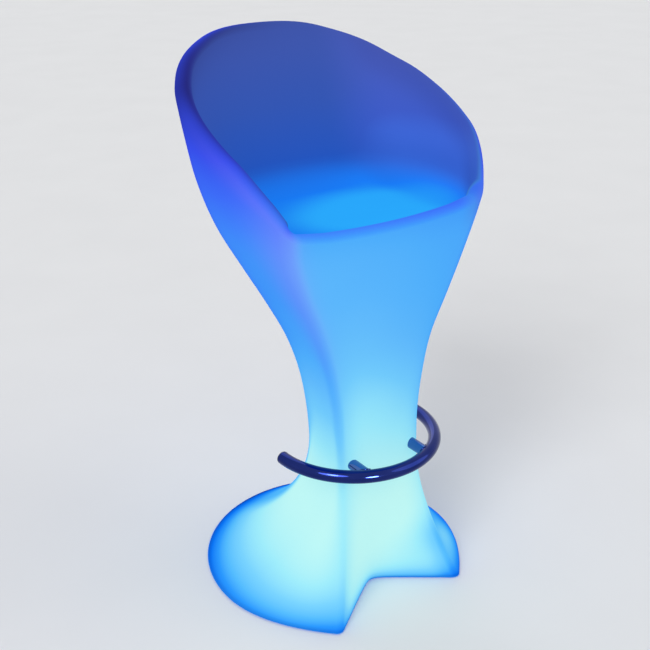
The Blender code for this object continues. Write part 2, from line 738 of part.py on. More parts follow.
def footrest_legs():
    """The two legs, coped to the ring, and the bushes, bar, nuts and bolts that hold them inside."""
    cope = bmesh.new()
    rings = arc_tube(cope, TUBE_RADIUS + GAP, TUBE_SIDES)
    for a, b in zip(rings, rings[1:]):
        for k in range(TUBE_SIDES):
            n = (k + 1) % TUBE_SIDES
            cope.faces.new((a[k], b[k], b[n], a[n]))
    cope.faces.new(rings[0])
    cope.faces.new(rings[-1][::-1])
    cope_cutter = finished("ring_cope", cope, smooth=False)

    bar_front = -BUSH_FRONT + BUSH_LENGTH + GAP
    bar_back = bar_front + BAR_THICKNESS
    leg_end = bar_front - GAP
    leg_start = FOOTREST_BACK - math.sqrt(FOOTREST_RADIUS ** 2 - LEG_SPREAD ** 2)
    bore = LEG_RADIUS - LEG_WALL
    bush_bore = LEG_RADIUS + GAP
    for name, side in (("left", -1), ("right", 1)):
        place = about_y(side * LEG_SPREAD, FOOTREST_HEIGHT)
        leg = turn(bmesh.new(), pipe(LEG_RADIUS, bore, leg_start, leg_end), ROUND_SIDES, place, True)
        cut(finished("footrest_leg_" + name, leg, "chrome"), cope_cutter)
        bush = pipe(bush_bore + BUSH_WALL, bush_bore, -BUSH_FRONT, leg_end)
        finished("leg_bush_" + name, turn(bmesh.new(), bush, ROUND_SIDES, place, True), "black_plastic")
        thread = LEG_BOLT_RADIUS + GAP
        nut = pipe(bore - GAP, thread, leg_end - NUT_LENGTH, leg_end)
        finished("leg_nut_" + name, turn(bmesh.new(), nut, ROUND_SIDES, place, True), "steel")
        under_head = bar_back + GAP
        bolt = [(0, leg_end - NUT_LENGTH), (LEG_BOLT_RADIUS, leg_end - NUT_LENGTH),
                (LEG_BOLT_RADIUS, under_head), (LEG_BOLT_HEAD_RADIUS, under_head),
                (LEG_BOLT_HEAD_RADIUS, under_head + LEG_BOLT_HEAD), (0, under_head + LEG_BOLT_HEAD)]
        finished("leg_bolt_" + name, turn(bmesh.new(), bolt, SMALL_SIDES, place), "steel")

    bar = bmesh.new()
    box(bar, (-BAR_LENGTH / 2, bar_front, FOOTREST_HEIGHT - BAR_WIDTH / 2),
        (BAR_LENGTH / 2, bar_back, FOOTREST_HEIGHT + BAR_WIDTH / 2))
    ends = [e for e in bar.edges if abs(e.verts[0].co.y - e.verts[1].co.y) > BAR_THICKNESS / 2]
    bmesh.ops.bevel(bar, geom=ends, offset=BAR_ROUND, segments=BAR_ROUND_STEPS, affect="EDGES", profile=0.5)
    holes = bmesh.new()
    for side in (-1, 1):
        turn(holes, rod(LEG_BOLT_RADIUS + GAP, bar_front - CUT_OVERRUN, bar_back + CUT_OVERRUN),
             SMALL_SIDES, about_y(side * LEG_SPREAD, FOOTREST_HEIGHT))
    cut(finished("leg_bar", bar, "steel", smooth=False), finished("bar_holes", holes, smooth=False))


def lamp_plate():
    """The plate that closes the lamp opening, with its dome lip, posts and the control board's bosses."""
    lip = DOME_RADIUS + GAP
    lip_top = PLATE_TOP + LIP_HEIGHT
    profile = [(0, PLATE_BOTTOM), (PLATE_RADIUS - PLATE_BEVEL, PLATE_BOTTOM),
               (PLATE_RADIUS, PLATE_BOTTOM + PLATE_BEVEL), (PLATE_RADIUS, PLATE_TOP),
               (lip + LIP_WALL, PLATE_TOP), (lip + LIP_WALL, lip_top), (lip, lip_top),
               (lip, PLATE_TOP), (0, PLATE_TOP)]
    bm = turn(bmesh.new(), profile, FINE_SIDES, upright(lamp_point(0, 0)))
    plate = finished("lamp_plate", bm, "black_plastic")

    raised = bmesh.new()
    root = PLATE_TOP - PLATE_THICKNESS / 2
    for place in POST_PLACES:
        turn(raised, rod(POST_RADIUS, root, POST_TOP), SMALL_SIDES, upright(place))
    for side in (-1, 1):
        turn(raised, rod(CONTROL_BOSS_RADIUS, root, CONTROL_BOTTOM - GAP), SMALL_SIDES,
             upright(lamp_point(side * CONTROL_BOSS_SPREAD, -CONTROL_FRONT)))
    cut(plate, finished("plate_raised", raised, smooth=False), "UNION")

    holes = bmesh.new()
    low, high = PLATE_BOTTOM - CUT_OVERRUN, PLATE_TOP + CUT_OVERRUN
    for place in SCREW_PLACES:
        turn(holes, rod(PLATE_SCREW_RADIUS + GAP, low, high), SMALL_SIDES, upright(place))
    for place in POST_PLACES:
        bore = rod(BOARD_SCREW_RADIUS + GAP, POST_TOP - BOARD_SCREW_DEPTH - GAP, POST_TOP + CUT_OVERRUN)
        turn(holes, bore, SMALL_SIDES, upright(place))
    for place, radius in ((lamp_point(-BUTTON_SPREAD, -CONTROL_FRONT), POWER_BUTTON_RADIUS),
                          (lamp_point(BUTTON_SPREAD, -CONTROL_FRONT), MODE_BUTTON_RADIUS),
                          (lamp_point(WINDOW_SPREAD, WINDOW_BACK), WINDOW_RADIUS),
                          (lamp_point(0, SOCKET_BACK), SOCKET_NOSE_RADIUS)):
        turn(holes, rod(radius + GAP, low, high), SMALL_SIDES, upright(place))
    cut(plate, finished("plate_holes", holes, smooth=False))


def plate_fasteners():
    gasket = turn(bmesh.new(), pipe(GASKET_OUTER_RADIUS, GASKET_INNER_RADIUS,
                                    GASKET_TOP - GASKET_THICKNESS, GASKET_TOP), FINE_SIDES,
                  upright(lamp_point(0, 0)), True)
    holes = bmesh.new()
    for place in SCREW_PLACES:
        turn(holes, rod(PLATE_SCREW_RADIUS + GAP, PLATE_TOP - CUT_OVERRUN, GASKET_TOP + CUT_OVERRUN),
             SMALL_SIDES, upright(place))
    cut(finished("plate_gasket", gasket, "grey_rubber"), finished("gasket_holes", holes, smooth=False))

    thread = PLATE_SCREW_RADIUS + GAP
    flange_low = PANEL_HEIGHT + WALL + GAP
    flange_top = flange_low + INSERT_FLANGE
    insert = [(INSERT_RADIUS, PANEL_HEIGHT), (INSERT_RADIUS, flange_low),
              (INSERT_FLANGE_RADIUS, flange_low), (INSERT_FLANGE_RADIUS, flange_top),
              (thread, flange_top), (thread, PANEL_HEIGHT)]
    seat = PLATE_BOTTOM - GAP
    tip = flange_top + SCREW_TIP_PAST
    head_low = seat - PLATE_SCREW_HEAD
    screw = [(0, head_low), (PLATE_SCREW_HEAD_RADIUS, head_low), (PLATE_SCREW_HEAD_RADIUS, seat),
             (PLATE_SCREW_RADIUS, seat), (PLATE_SCREW_RADIUS, tip), (0, tip)]
    for i, place in enumerate(SCREW_PLACES, 1):
        finished(f"screw_insert_{i}", turn(bmesh.new(), insert, SMALL_SIDES, hollow=True), "brass", place)
        finished(f"plate_screw_{i}", turn(bmesh.new(), screw, SMALL_SIDES), "steel", place)


def diffuser_dome():
    shoulder = ON_PLATE + DOME_SHOULDER
    rise = DOME_HEIGHT - DOME_SHOULDER
    outside = [(DOME_RADIUS, ON_PLATE)]
    inside = [(DOME_RADIUS - DOME_WALL, ON_PLATE)]
    for i in range(DOME_ROWS):
        a = math.pi / 2 * i / DOME_ROWS
        outside.append((DOME_RADIUS * math.cos(a), shoulder + rise * math.sin(a)))
        inside.append(((DOME_RADIUS - DOME_WALL) * math.cos(a), shoulder + (rise - DOME_WALL) * math.sin(a)))
    profile = [(0, shoulder + rise - DOME_WALL)] + inside[::-1] + outside + [(0, shoulder + rise)]
    finished("diffuser_dome", turn(bmesh.new(), profile, FINE_SIDES), "clear_diffuser", lamp_point(0, 0))


def light_board():
    """The heat spreader and the light board on the posts, with the lights and the board's screws."""
    lead_place = lamp_point(LIGHT_LEAD_SPREAD, -LIGHT_LEAD_FRONT)
    for name, finish, low, high, lead_hole in (
            ("heat_spreader", "aluminium", POST_TOP + GAP, SPREADER_TOP, True),
            ("light_board", "light_board_white", SPREADER_TOP + GAP, BOARD_TOP, False)):
        disc = turn(bmesh.new(), rod(BOARD_RADIUS, low, high), FINE_SIDES, upright(lamp_point(0, 0)))
        holes = bmesh.new()
        for place in POST_PLACES:
            turn(holes, rod(BOARD_SCREW_RADIUS + GAP, low - CUT_OVERRUN, high + CUT_OVERRUN), SMALL_SIDES,
                 upright(place))
        if lead_hole:
            turn(holes, rod(LEAD_HOLE_RADIUS, low - CUT_OVERRUN, high + CUT_OVERRUN), SMALL_SIDES,
                 upright(lead_place))
        cut(finished(name, disc, finish), finished(name + "_holes", holes, smooth=False))
    half = LIGHT_WIDTH / 2
    for i, place in enumerate(LIGHT_PLACES, 1):
        chip = bmesh.new()
        box(chip, (-half, -half, BOARD_TOP + GAP), (half, half, BOARD_TOP + GAP + LIGHT_HEIGHT))
        finished(f"light_{i}", chip, "light_chip", place, smooth=False)
    seat = BOARD_TOP + GAP
    tip = POST_TOP - BOARD_SCREW_DEPTH
    head_top = seat + BOARD_SCREW_HEAD
    screw = [(0, tip), (BOARD_SCREW_RADIUS, tip), (BOARD_SCREW_RADIUS, seat),
             (BOARD_SCREW_HEAD_RADIUS, seat), (BOARD_SCREW_HEAD_RADIUS, head_top), (0, head_top)]
    for i, place in enumerate(POST_PLACES, 1):
        finished(f"board_screw_{i}", turn(bmesh.new(), screw, SMALL_SIDES), "steel", place)


def battery():
    """Three cells in an open tray, held down by a strap."""
    tray = bmesh.new()
    box(tray, lamp_point(-TRAY_HALF_LENGTH, -TRAY_HALF_WIDTH, ON_PLATE),
        lamp_point(TRAY_HALF_LENGTH, TRAY_HALF_WIDTH, ON_PLATE + TRAY_HEIGHT))
    hollow = bmesh.new()
    half_length, half_width = TRAY_HALF_LENGTH - TRAY_WALL, TRAY_HALF_WIDTH - TRAY_WALL
    box(hollow, lamp_point(-half_length, -half_width, ON_PLATE + TRAY_WALL),
        lamp_point(half_length, half_width, ON_PLATE + TRAY_HEIGHT + CUT_OVERRUN))
    cut(finished("battery_tray", tray, "black_plastic", smooth=False),
        finished("tray_hollow", hollow, smooth=False))

    half_cell = CELL_LENGTH / 2
    tip = half_cell + CELL_TIP
    profile = [(0, -half_cell), (CELL_RADIUS, -half_cell), (CELL_RADIUS, half_cell),
               (CELL_TIP_RADIUS, half_cell), (CELL_TIP_RADIUS, tip), (0, tip)]
    for i in range(CELLS):
        place = lamp_point(0, CELL_PITCH * (i - (CELLS - 1) / 2), CELL_HEIGHT)
        way = Matrix.Rotation(math.pi / 2 if i % 2 else -math.pi / 2, 4, "Y")
        finished(f"battery_cell_{i + 1}", turn(bmesh.new(), profile, ROUND_SIDES, way), "cell_wrap", place)

    inner_half = TRAY_HALF_WIDTH + GAP
    inner_top = CELL_HEIGHT + CELL_RADIUS + GAP
    outer_half, outer_top = inner_half + STRAP_THICKNESS, inner_top + STRAP_THICKNESS
    bm = bmesh.new()
    hoop = [(-outer_half, ON_PLATE), (-inner_half, ON_PLATE), (-inner_half, inner_top),
            (inner_half, inner_top), (inner_half, ON_PLATE), (outer_half, ON_PLATE),
            (outer_half, outer_top), (-outer_half, outer_top)]
    face = bm.faces.new([bm.verts.new(lamp_point(-STRAP_WIDTH / 2, y, z)) for y, z in hoop])
    grown = bmesh.ops.extrude_face_region(bm, geom=[face])["geom"]
    bmesh.ops.translate(bm, vec=(STRAP_WIDTH, 0, 0),
                        verts=[v for v in grown if isinstance(v, bmesh.types.BMVert)])
    bmesh.ops.recalc_face_normals(bm, faces=bm.faces)
    finished("battery_strap", bm, "grey_rubber", smooth=False)


def controls():
    """Control board, charging socket with its flap, two buttons and the remote's window."""
    board = bmesh.new()
    box(board, lamp_point(-CONTROL_LENGTH / 2, -CONTROL_FRONT - CONTROL_WIDTH / 2, CONTROL_BOTTOM),
        lamp_point(CONTROL_LENGTH / 2, -CONTROL_BACK_EDGE, CONTROL_TOP))
    finished("control_board", board, "circuit_board", smooth=False)

    nose_low = PLATE_BOTTOM
    body = bmesh.new()
    box(body, (-SOCKET_LENGTH / 2, -SOCKET_WIDTH / 2, ON_PLATE),
        (SOCKET_LENGTH / 2, SOCKET_WIDTH / 2, ON_PLATE + SOCKET_HEIGHT))
    socket = finished("charge_socket", body, "black_plastic", lamp_point(0, SOCKET_BACK), smooth=False)
    nose = turn(bmesh.new(), rod(SOCKET_NOSE_RADIUS, nose_low, ON_PLATE + SOCKET_HEIGHT / 2), SMALL_SIDES)
    cut(socket, finished("socket_nose", nose, at=lamp_point(0, SOCKET_BACK), smooth=False), "UNION")
    bore = turn(bmesh.new(), pipe(SOCKET_BORE_RADIUS, SOCKET_PIN_RADIUS, nose_low - CUT_OVERRUN,
                                  nose_low + SOCKET_BORE_DEPTH), SMALL_SIDES, hollow=True)
    cut(socket, finished("socket_bore", bore, at=lamp_point(0, SOCKET_BACK), smooth=False))

    half = FLAP_THICKNESS / 2
    hinge = lamp_point(0, SOCKET_BACK - FLAP_LENGTH / 2, PLATE_BOTTOM - GAP - half)
    round_end = [math.pi * (1 + i / FLAP_ROUND_STEPS) for i in range(FLAP_ROUND_STEPS + 1)]
    side_view = [(half * math.sin(a), half * math.cos(a)) for a in round_end]
    side_view += [(FLAP_LENGTH, half), (FLAP_LENGTH, -half)]
    flap = bmesh.new()
    face = flap.faces.new([flap.verts.new((-FLAP_WIDTH / 2, y, z)) for y, z in side_view])
    grown = bmesh.ops.extrude_face_region(flap, geom=[face])["geom"]
    bmesh.ops.translate(flap, vec=(FLAP_WIDTH, 0, 0),
                        verts=[v for v in grown if isinstance(v, bmesh.types.BMVert)])
    bmesh.ops.recalc_face_normals(flap, faces=flap.faces)
    finished("socket_flap", flap, "grey_rubber", hinge, smooth=False)

    flange_low = ON_PLATE
    for name, finish, side, radius in (("power_button", "white_plastic", -1, POWER_BUTTON_RADIUS),
                                       ("mode_button", "white_plastic", 1, MODE_BUTTON_RADIUS)):
        low = PLATE_BOTTOM - BUTTON_PROUD
        stem_top = flange_low + BUTTON_FLANGE + BUTTON_STEM
        flange = radius + BUTTON_FLANGE_EDGE
        profile = [(0, low), (radius - PLATE_BEVEL, low), (radius, low + PLATE_BEVEL), (radius, flange_low),
                   (flange, flange_low), (flange, flange_low + BUTTON_FLANGE),
                   (radius / 2, flange_low + BUTTON_FLANGE), (radius / 2, stem_top), (0, stem_top)]
        finished(name, turn(bmesh.new(), profile, SMALL_SIDES), finish,
                 lamp_point(side * BUTTON_SPREAD, -CONTROL_FRONT))

    flange = WINDOW_RADIUS + WINDOW_FLANGE_EDGE
    flange_top = ON_PLATE + WINDOW_FLANGE
    profile = [(0, PLATE_BOTTOM), (WINDOW_RADIUS, PLATE_BOTTOM), (WINDOW_RADIUS, ON_PLATE),
               (flange, ON_PLATE), (flange, flange_top), (0, flange_top)]
    finished("remote_window", turn(bmesh.new(), profile, SMALL_SIDES), "window_red",
             lamp_point(WINDOW_SPREAD, WINDOW_BACK))


def lead(name, finish, route):
    """A lead along its route: a smooth curve through the route's points, read as short straight steps."""
    points = []
    for k in range(len(route) - 1):
        a, b, c, d = (route[min(max(k + s, 0), len(route) - 1)] for s in (-1, 0, 1, 2))
        for i in range(LEAD_STEPS):
            t = i / LEAD_STEPS
            points.append(b * (1 + 2 * t) * (1 - t) ** 2 + (c - a) / 2 * t * (1 - t) ** 2
                          + c * t * t * (3 - 2 * t) - (d - b) / 2 * t * t * (1 - t))
    points.append(route[-1])
    curve = bpy.data.curves.new(name, "CURVE")
    curve.dimensions = "3D"
    curve.bevel_depth = LEAD_RADIUS
    curve.bevel_resolution = 1
    curve.use_fill_caps = True
    spline = curve.splines.new("POLY")
    spline.points.add(len(points) - 1)
    for slot, p in zip(spline.points, points):
        slot.co = (*p, 1)
    curve.materials.append(material(finish))
    made = bpy.data.objects.new(name, curve)
    bpy.context.scene.collection.objects.link(made)
    made.parent = origin


def leads():
    """The battery's lead to the control board, and the light board's lead from it."""
    top = CONTROL_TOP + GAP
    side = TRAY_HALF_LENGTH + GAP
    far = CONTROL_BOSS_SPREAD
    lead("battery_lead", "lead_red", [
        lamp_point(side, -BATTERY_LEAD_FRONT, CELL_HEIGHT),
        lamp_point(side + BATTERY_LEAD_OUT, -BATTERY_LEAD_FRONT, CELL_HEIGHT),
        lamp_point(side + BATTERY_LEAD_OUT, -TRAY_HALF_WIDTH, CELL_HEIGHT + LEAD_RISE),
        lamp_point(far + BATTERY_LEAD_OUT, -CONTROL_BACK_EDGE, top + 2 * LEAD_RISE),
        lamp_point(far, -CONTROL_FRONT, top + LEAD_RISE),
        lamp_point(far, -CONTROL_FRONT, top)])
    board = SPREADER_TOP
    lead("light_lead", "lead_white", [
        lamp_point(0, -CONTROL_FRONT, top),
        lamp_point(0, -CONTROL_FRONT, top + LEAD_RISE),
        lamp_point(LIGHT_LEAD_SPREAD / 2, -LIGHT_LEAD_FRONT, (top + board) / 2),
        lamp_point(LIGHT_LEAD_SPREAD, -LIGHT_LEAD_FRONT, board - LEAD_RISE),
        lamp_point(LIGHT_LEAD_SPREAD, -LIGHT_LEAD_FRONT, board)])


def depth_middle():
    """The middle of the stool's depth, between the footrest's front and the hood's back."""
    front = FOOTREST_BACK - FOOTREST_RADIUS - TUBE_RADIUS
    back = outline_sizes(rim_base(0))[2]
    return (front + back) / 2


shell_and_pads()
footrest_ring()
footrest_legs()
lamp_plate()
plate_fasteners()
diffuser_dome()
light_board()
battery()
controls()
leads()
origin.location = (0, -depth_middle(), 0)
bpy.context.view_layer.update()
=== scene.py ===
"""Looks of the light-up bar stool: glowing moulding, chrome footrest and the lamp unit under the foot.

Metres, +Z up, the front faces -Y. The moulding's shape is worked out from the stem, a vertical line through
its waist, and STEM carries it back to the frame.
"""

import json
import math

import bmesh
import bpy
from mathutils import Matrix, Vector


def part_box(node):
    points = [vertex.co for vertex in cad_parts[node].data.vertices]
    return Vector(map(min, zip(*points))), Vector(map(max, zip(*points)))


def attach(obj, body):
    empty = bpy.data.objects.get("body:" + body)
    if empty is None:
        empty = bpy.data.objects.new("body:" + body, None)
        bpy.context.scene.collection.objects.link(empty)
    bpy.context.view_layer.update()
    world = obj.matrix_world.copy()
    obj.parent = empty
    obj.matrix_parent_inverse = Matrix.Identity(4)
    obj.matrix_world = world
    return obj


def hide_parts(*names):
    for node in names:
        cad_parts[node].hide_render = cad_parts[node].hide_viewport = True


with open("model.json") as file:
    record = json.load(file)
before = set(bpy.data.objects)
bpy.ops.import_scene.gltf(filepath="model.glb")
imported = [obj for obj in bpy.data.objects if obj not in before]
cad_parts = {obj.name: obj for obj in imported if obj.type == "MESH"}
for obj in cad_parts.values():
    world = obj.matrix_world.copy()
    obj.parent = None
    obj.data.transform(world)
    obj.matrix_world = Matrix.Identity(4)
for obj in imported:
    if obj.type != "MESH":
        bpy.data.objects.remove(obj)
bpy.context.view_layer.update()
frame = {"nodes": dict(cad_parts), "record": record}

# The photograph's camera
CAMERA_PLACE = (-1.0828, -1.4938, 1.3309)
CAMERA_TURN = (66.143, 0, -35.702)
LENS_MM = 57.486
SENSOR_MM = 36

# Overall sizes of the moulding
TOTAL_HEIGHT = 1.060
WALL = 0.005

# Outline of the moulding at the floor, at the waist and at the top of the hood
BASE_HALF_WIDTH = 0.2725
BASE_TOE_SPREAD = 0.150
BASE_BACK_REACH = 0.312
BASE_FRONT_REACH = 0.1975
NOTCH_REACH = 0.095
WAIST_HEIGHT = 0.300
WAIST_HALF_WIDTH = 0.092
WAIST_BACK_REACH = 0.073
WAIST_FRONT_REACH = 0.117
WAIST_BOW = 0.013
HOOD_HALF_WIDTH = 0.2864
HOOD_CREASE_SPREAD = 0.224
HOOD_BACK_REACH = 0.308
HOOD_FRONT_REACH = 0.1956
HOOD_BOW = 0.022
WAIST_CREASE_ROUND = 0.012
HOOD_CREASE_ROUND = 0.030
SHARP_CREASE_ROUND = 0.003

# How fast each line of the outline flares from the waist to the floor, as powers
SIDE_FLARE = 2.1
TOE_FLARE = 1.95
BACK_FLARE = 2.27
FRONT_FLARE = 1.55
NOTCH_FLARE = 2.2

# How far each line of the outline has opened, in ten equal steps from the waist to the top
SIDE_RISE = (0, 0.02, 0.07, 0.18, 0.365, 0.573, 0.774, 0.895, 0.941, 0.978, 1)
CREASE_RISE = (0, 0.02, 0.09, 0.22, 0.44, 0.694, 0.882, 0.927, 0.96, 0.997, 1)
BACK_RISE = (0, 0.03, 0.10, 0.20, 0.313, 0.419, 0.541, 0.685, 0.815, 0.906, 1)
FRONT_RISE = (0, -0.04, -0.04, -0.03, 0.06, 0.09, 0.167, 0.382, 0.625, 0.857, 1)
WIDEST_RISE = (0, 0.02, 0.13, 0.32, 0.54, 0.70, 0.76, 0.80, 0.88, 0.95, 1)

# Where the outline is widest, and how round its stretches are
BASE_WIDEST = 0.452
WAIST_WIDEST = 0.20
HOOD_WIDEST = 0.465
NOTCH_ROUND = 0.08
FRONT_ROUND = 1.2
HOOD_BACK_POWER = 0.89

# Rim, seat and underside
SEAT_HEIGHT = 0.758
RIM_FRONT_HEIGHT = SEAT_HEIGHT + 0.0244
RIM_RADIUS = 0.0145
RIM_FRONT_DIP = 0.0049
RIM_START_REACH = 0.1418
RIM_RISE = (0, 0.215, 0.374, 0.467, 0.547, 0.621, 0.695, 0.763, 0.846, 0.923, 1)
SEAT_DISH = 0.006
SEAT_FILLET_RISE = 0.050
SEAT_FILLET_RUN = 0.040
SEAT_CENTRE_BACK = 0.020
HOOD_START_HEIGHT = RIM_FRONT_HEIGHT - 0.045
FOOT_LIFT = 0.002
EDGE_HEIGHT = 0.006
EDGE_ROUND = 0.002
PANEL_HEIGHT = FOOT_LIFT + 0.024
PANEL_SLOPE_RUN = 0.012
FOOT_RING = 0.38
LAMP_BACK = 0.060
LAMP_OPENING_RADIUS = 0.070

# Steps of the moulding's skin, finer than the solid's
QUARTER_STEPS = 36
SIDE_STEPS = 24
ROUND_STEPS = 12
FRONT_STEPS = 24
FLARE_ROWS = 24
STEM_ROWS = 26
HOOD_ROWS = 20
RIM_ROWS = 14
BACKREST_ROWS = 14
FILLET_ROWS = 10
SEAT_ROWS = 12
EDGE_ROWS = 4
SKIN_THINNING = 4
FLARE_ROW_POWER = 1.3
RIM_SETTLE_STEPS = 20

# Footrest
FOOTREST_HEIGHT = 0.311
FOOTREST_RADIUS = 0.162
FOOTREST_BACK = -0.024
TUBE_RADIUS = 0.0125
TUBE_WALL = 0.0015
LEG_SPREAD = 0.070
LEG_RADIUS = 0.011
LEG_END = -0.061
GAP = 0.0003
CAP_DOME = 0.004
CAP_PLUG = 0.008
CAP_PLAY = 0.0006
WELD_RADIUS = 0.0016

plate_low, plate_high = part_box("lamp_plate")
STEM = Vector((0, (plate_low.y + plate_high.y) / 2 - LAMP_BACK, 0))
HALF_STEPS = QUARTER_STEPS + SIDE_STEPS + ROUND_STEPS + FRONT_STEPS
STATIONS = 2 * HALF_STEPS
TOE_STATION = QUARTER_STEPS + SIDE_STEPS + ROUND_STEPS // 2


def clamp(value, low=0.0, high=1.0):
    return min(max(value, low), high)


def smooth_step(t):
    t = clamp(t)
    return t * t * (3 - 2 * t)


def mix(a, b, t):
    return a + (b - a) * t


def bent(a, b, c, t):
    """On the curve from a to c that leaves and arrives towards b."""
    return a * (1 - t) ** 2 + b * 2 * t * (1 - t) + c * t * t


def along(shares, t):
    """Read a row of evenly spaced shares at t, from 0 to 1, on a smooth curve through them."""
    last = len(shares) - 1
    place = clamp(t) * last
    k = min(int(place), last - 1)
    f = place - k
    before, start, end, after = (shares[min(max(k + step, 0), last)] for step in (-1, 0, 1, 2))
    leave = (end - before) / 2
    arrive = (after - start) / 2
    return (start * (1 + 2 * f) * (1 - f) ** 2 + leave * f * (1 - f) ** 2
            + end * f * f * (3 - 2 * f) - arrive * f * f * (1 - f))


# The moulding's shape


def outline_sizes(z):
    """Half width, crease spread, reaches, widest line, front bow and the roundings at height z."""
    if z < WAIST_HEIGHT:
        t = 1 - z / WAIST_HEIGHT
        side = mix(WAIST_HALF_WIDTH, BASE_HALF_WIDTH, t ** SIDE_FLARE)
        crease = mix(WAIST_HALF_WIDTH, BASE_TOE_SPREAD, t ** TOE_FLARE)
        back = mix(WAIST_BACK_REACH, BASE_BACK_REACH, t ** BACK_FLARE)
        front = mix(WAIST_FRONT_REACH, BASE_FRONT_REACH, t ** FRONT_FLARE)
        widest = mix(WAIST_WIDEST, BASE_WIDEST, smooth_step(t))
        bow = mix(WAIST_FRONT_REACH + WAIST_BOW, NOTCH_REACH, t ** NOTCH_FLARE) - front
        return side, crease, back, front, widest, bow, mix(FRONT_ROUND, NOTCH_ROUND, t), 1, WAIST_CREASE_ROUND
    t = (z - WAIST_HEIGHT) / (TOTAL_HEIGHT - WAIST_HEIGHT)
    side = mix(WAIST_HALF_WIDTH, HOOD_HALF_WIDTH, along(SIDE_RISE, t))
    crease = mix(WAIST_HALF_WIDTH, HOOD_CREASE_SPREAD, along(CREASE_RISE, t))
    back = mix(WAIST_BACK_REACH, HOOD_BACK_REACH, along(BACK_RISE, t))
    front = mix(WAIST_FRONT_REACH, HOOD_FRONT_REACH, along(FRONT_RISE, t))
    widest = mix(WAIST_WIDEST, HOOD_WIDEST, along(WIDEST_RISE, t))
    bow = mix(WAIST_BOW, HOOD_BOW, t)
    return (side, crease, back, front, widest, bow, FRONT_ROUND, mix(1, HOOD_BACK_POWER, t),
            mix(WAIST_CREASE_ROUND, HOOD_CREASE_ROUND, t))


def outline_point(station, z, inset=0.0):
    """One point of the outline at height z. Station 0 is the back, and stations run by +X to the front."""
    j = station % STATIONS
    mirror = 1
    if j > HALF_STEPS:
        j = STATIONS - j
        mirror = -1
    side, crease, back, front, widest_share, bow, round_share, back_power, crease_round = outline_sizes(z)
    widest = -front + widest_share * (back + front)
    bend = math.atan2(widest + front, 2 * (side - crease))
    side, back, front = side - inset, back - inset, front - inset
    crease = crease - inset * math.tan(bend / 2)
    crease_round = max(crease_round - inset, SHARP_CREASE_ROUND)
    flank = side - crease
    run = widest + front
    trim_side = 1 - crease_round / math.hypot(2 * flank, run)
    trim_front = 1 - crease_round / crease
    steep = math.sqrt(1 + round_share ** 2) - round_share

    def flank_point(s):
        return side - flank * s * s, widest - run * s

    def front_point(s):
        lift = 1 - (math.sqrt(s * s + round_share ** 2) - round_share) / steep
        return crease * s, -front - bow * lift

    if j < QUARTER_STEPS:
        a = math.pi / 2 * j / QUARTER_STEPS
        x = side * math.sin(a) ** back_power
        y = widest + (back - widest) * math.cos(a) ** back_power
    elif j < QUARTER_STEPS + SIDE_STEPS:
        x, y = flank_point(trim_side * (j - QUARTER_STEPS) / SIDE_STEPS)
    elif j < HALF_STEPS - FRONT_STEPS:
        t = (j - QUARTER_STEPS - SIDE_STEPS) / ROUND_STEPS
        (ax, ay), (bx, by) = flank_point(trim_side), front_point(trim_front)
        x, y = bent(ax, crease, bx, t), bent(ay, -front, by, t)
    else:
        x, y = front_point(trim_front * (HALF_STEPS - j) / FRONT_STEPS)
    return Vector((mirror * x, y, z))


def whole_outline(z, inset=0.0):
    return [outline_point(j, z, inset) for j in range(STATIONS)]


def rim_height(p):
    """Height of the rim's crest above a point of the plan: level at the front, climbing to the back."""
    climb = along(RIM_RISE, (p.y + RIM_START_REACH) / (RIM_START_REACH + HOOD_BACK_REACH))
    spread = outline_sizes(RIM_FRONT_HEIGHT)[1]
    dip = RIM_FRONT_DIP * max(0, 1 - (p.x / spread) ** 2) if p.y < 0 else 0
    return RIM_FRONT_HEIGHT - dip + (TOTAL_HEIGHT - RIM_FRONT_HEIGHT) * climb


def rim_base(station):
    """Height where the outside wall meets the rim's roll."""
    z = RIM_FRONT_HEIGHT
    for _ in range(RIM_SETTLE_STEPS):
        z = rim_height(outline_point(station, z - RIM_RADIUS))
    return z - RIM_RADIUS


def underside_rows():
    """Rows of the skin from the lamp opening out to the bottom edge, along rays from the lamp's axis."""
    centre = Vector((0, LAMP_BACK, 0))
    edge = whole_outline(EDGE_HEIGHT)
    tip = whole_outline(FOOT_LIFT)
    opening, panel, ring_in, ring_out = [], [], [], []
    for p in edge:
        reach = Vector((p.x, p.y, 0)) - centre
        ray = reach.normalized()
        foot = reach.length - EDGE_ROUND
        ring = foot - FOOT_RING * (foot - LAMP_OPENING_RADIUS)
        for row, radius, height in ((opening, LAMP_OPENING_RADIUS, PANEL_HEIGHT),
                                    (panel, ring - PANEL_SLOPE_RUN, PANEL_HEIGHT),
                                    (ring_in, ring, FOOT_LIFT), (ring_out, foot, FOOT_LIFT)):
            row.append(centre + ray * radius + Vector((0, 0, height)))
    rows = [opening, panel, ring_in]
    for i in range(EDGE_ROWS):
        rows.append([bent(a, b, c, i / EDGE_ROWS) for a, b, c in zip(ring_out, tip, edge)])
    return rows


def outside_rows(tops):
    """Rows from the bottom edge up the outside to the foot of the rim's roll."""
    rows = []
    for i in range(FLARE_ROWS):
        rows.append(whole_outline(mix(EDGE_HEIGHT, WAIST_HEIGHT, (i / FLARE_ROWS) ** FLARE_ROW_POWER)))
    for i in range(STEM_ROWS):
        rows.append(whole_outline(mix(WAIST_HEIGHT, HOOD_START_HEIGHT, i / STEM_ROWS)))
    for i in range(HOOD_ROWS + 1):
        rows.append([outline_point(j, mix(HOOD_START_HEIGHT, top, i / HOOD_ROWS))
                     for j, top in enumerate(tops)])
    return rows


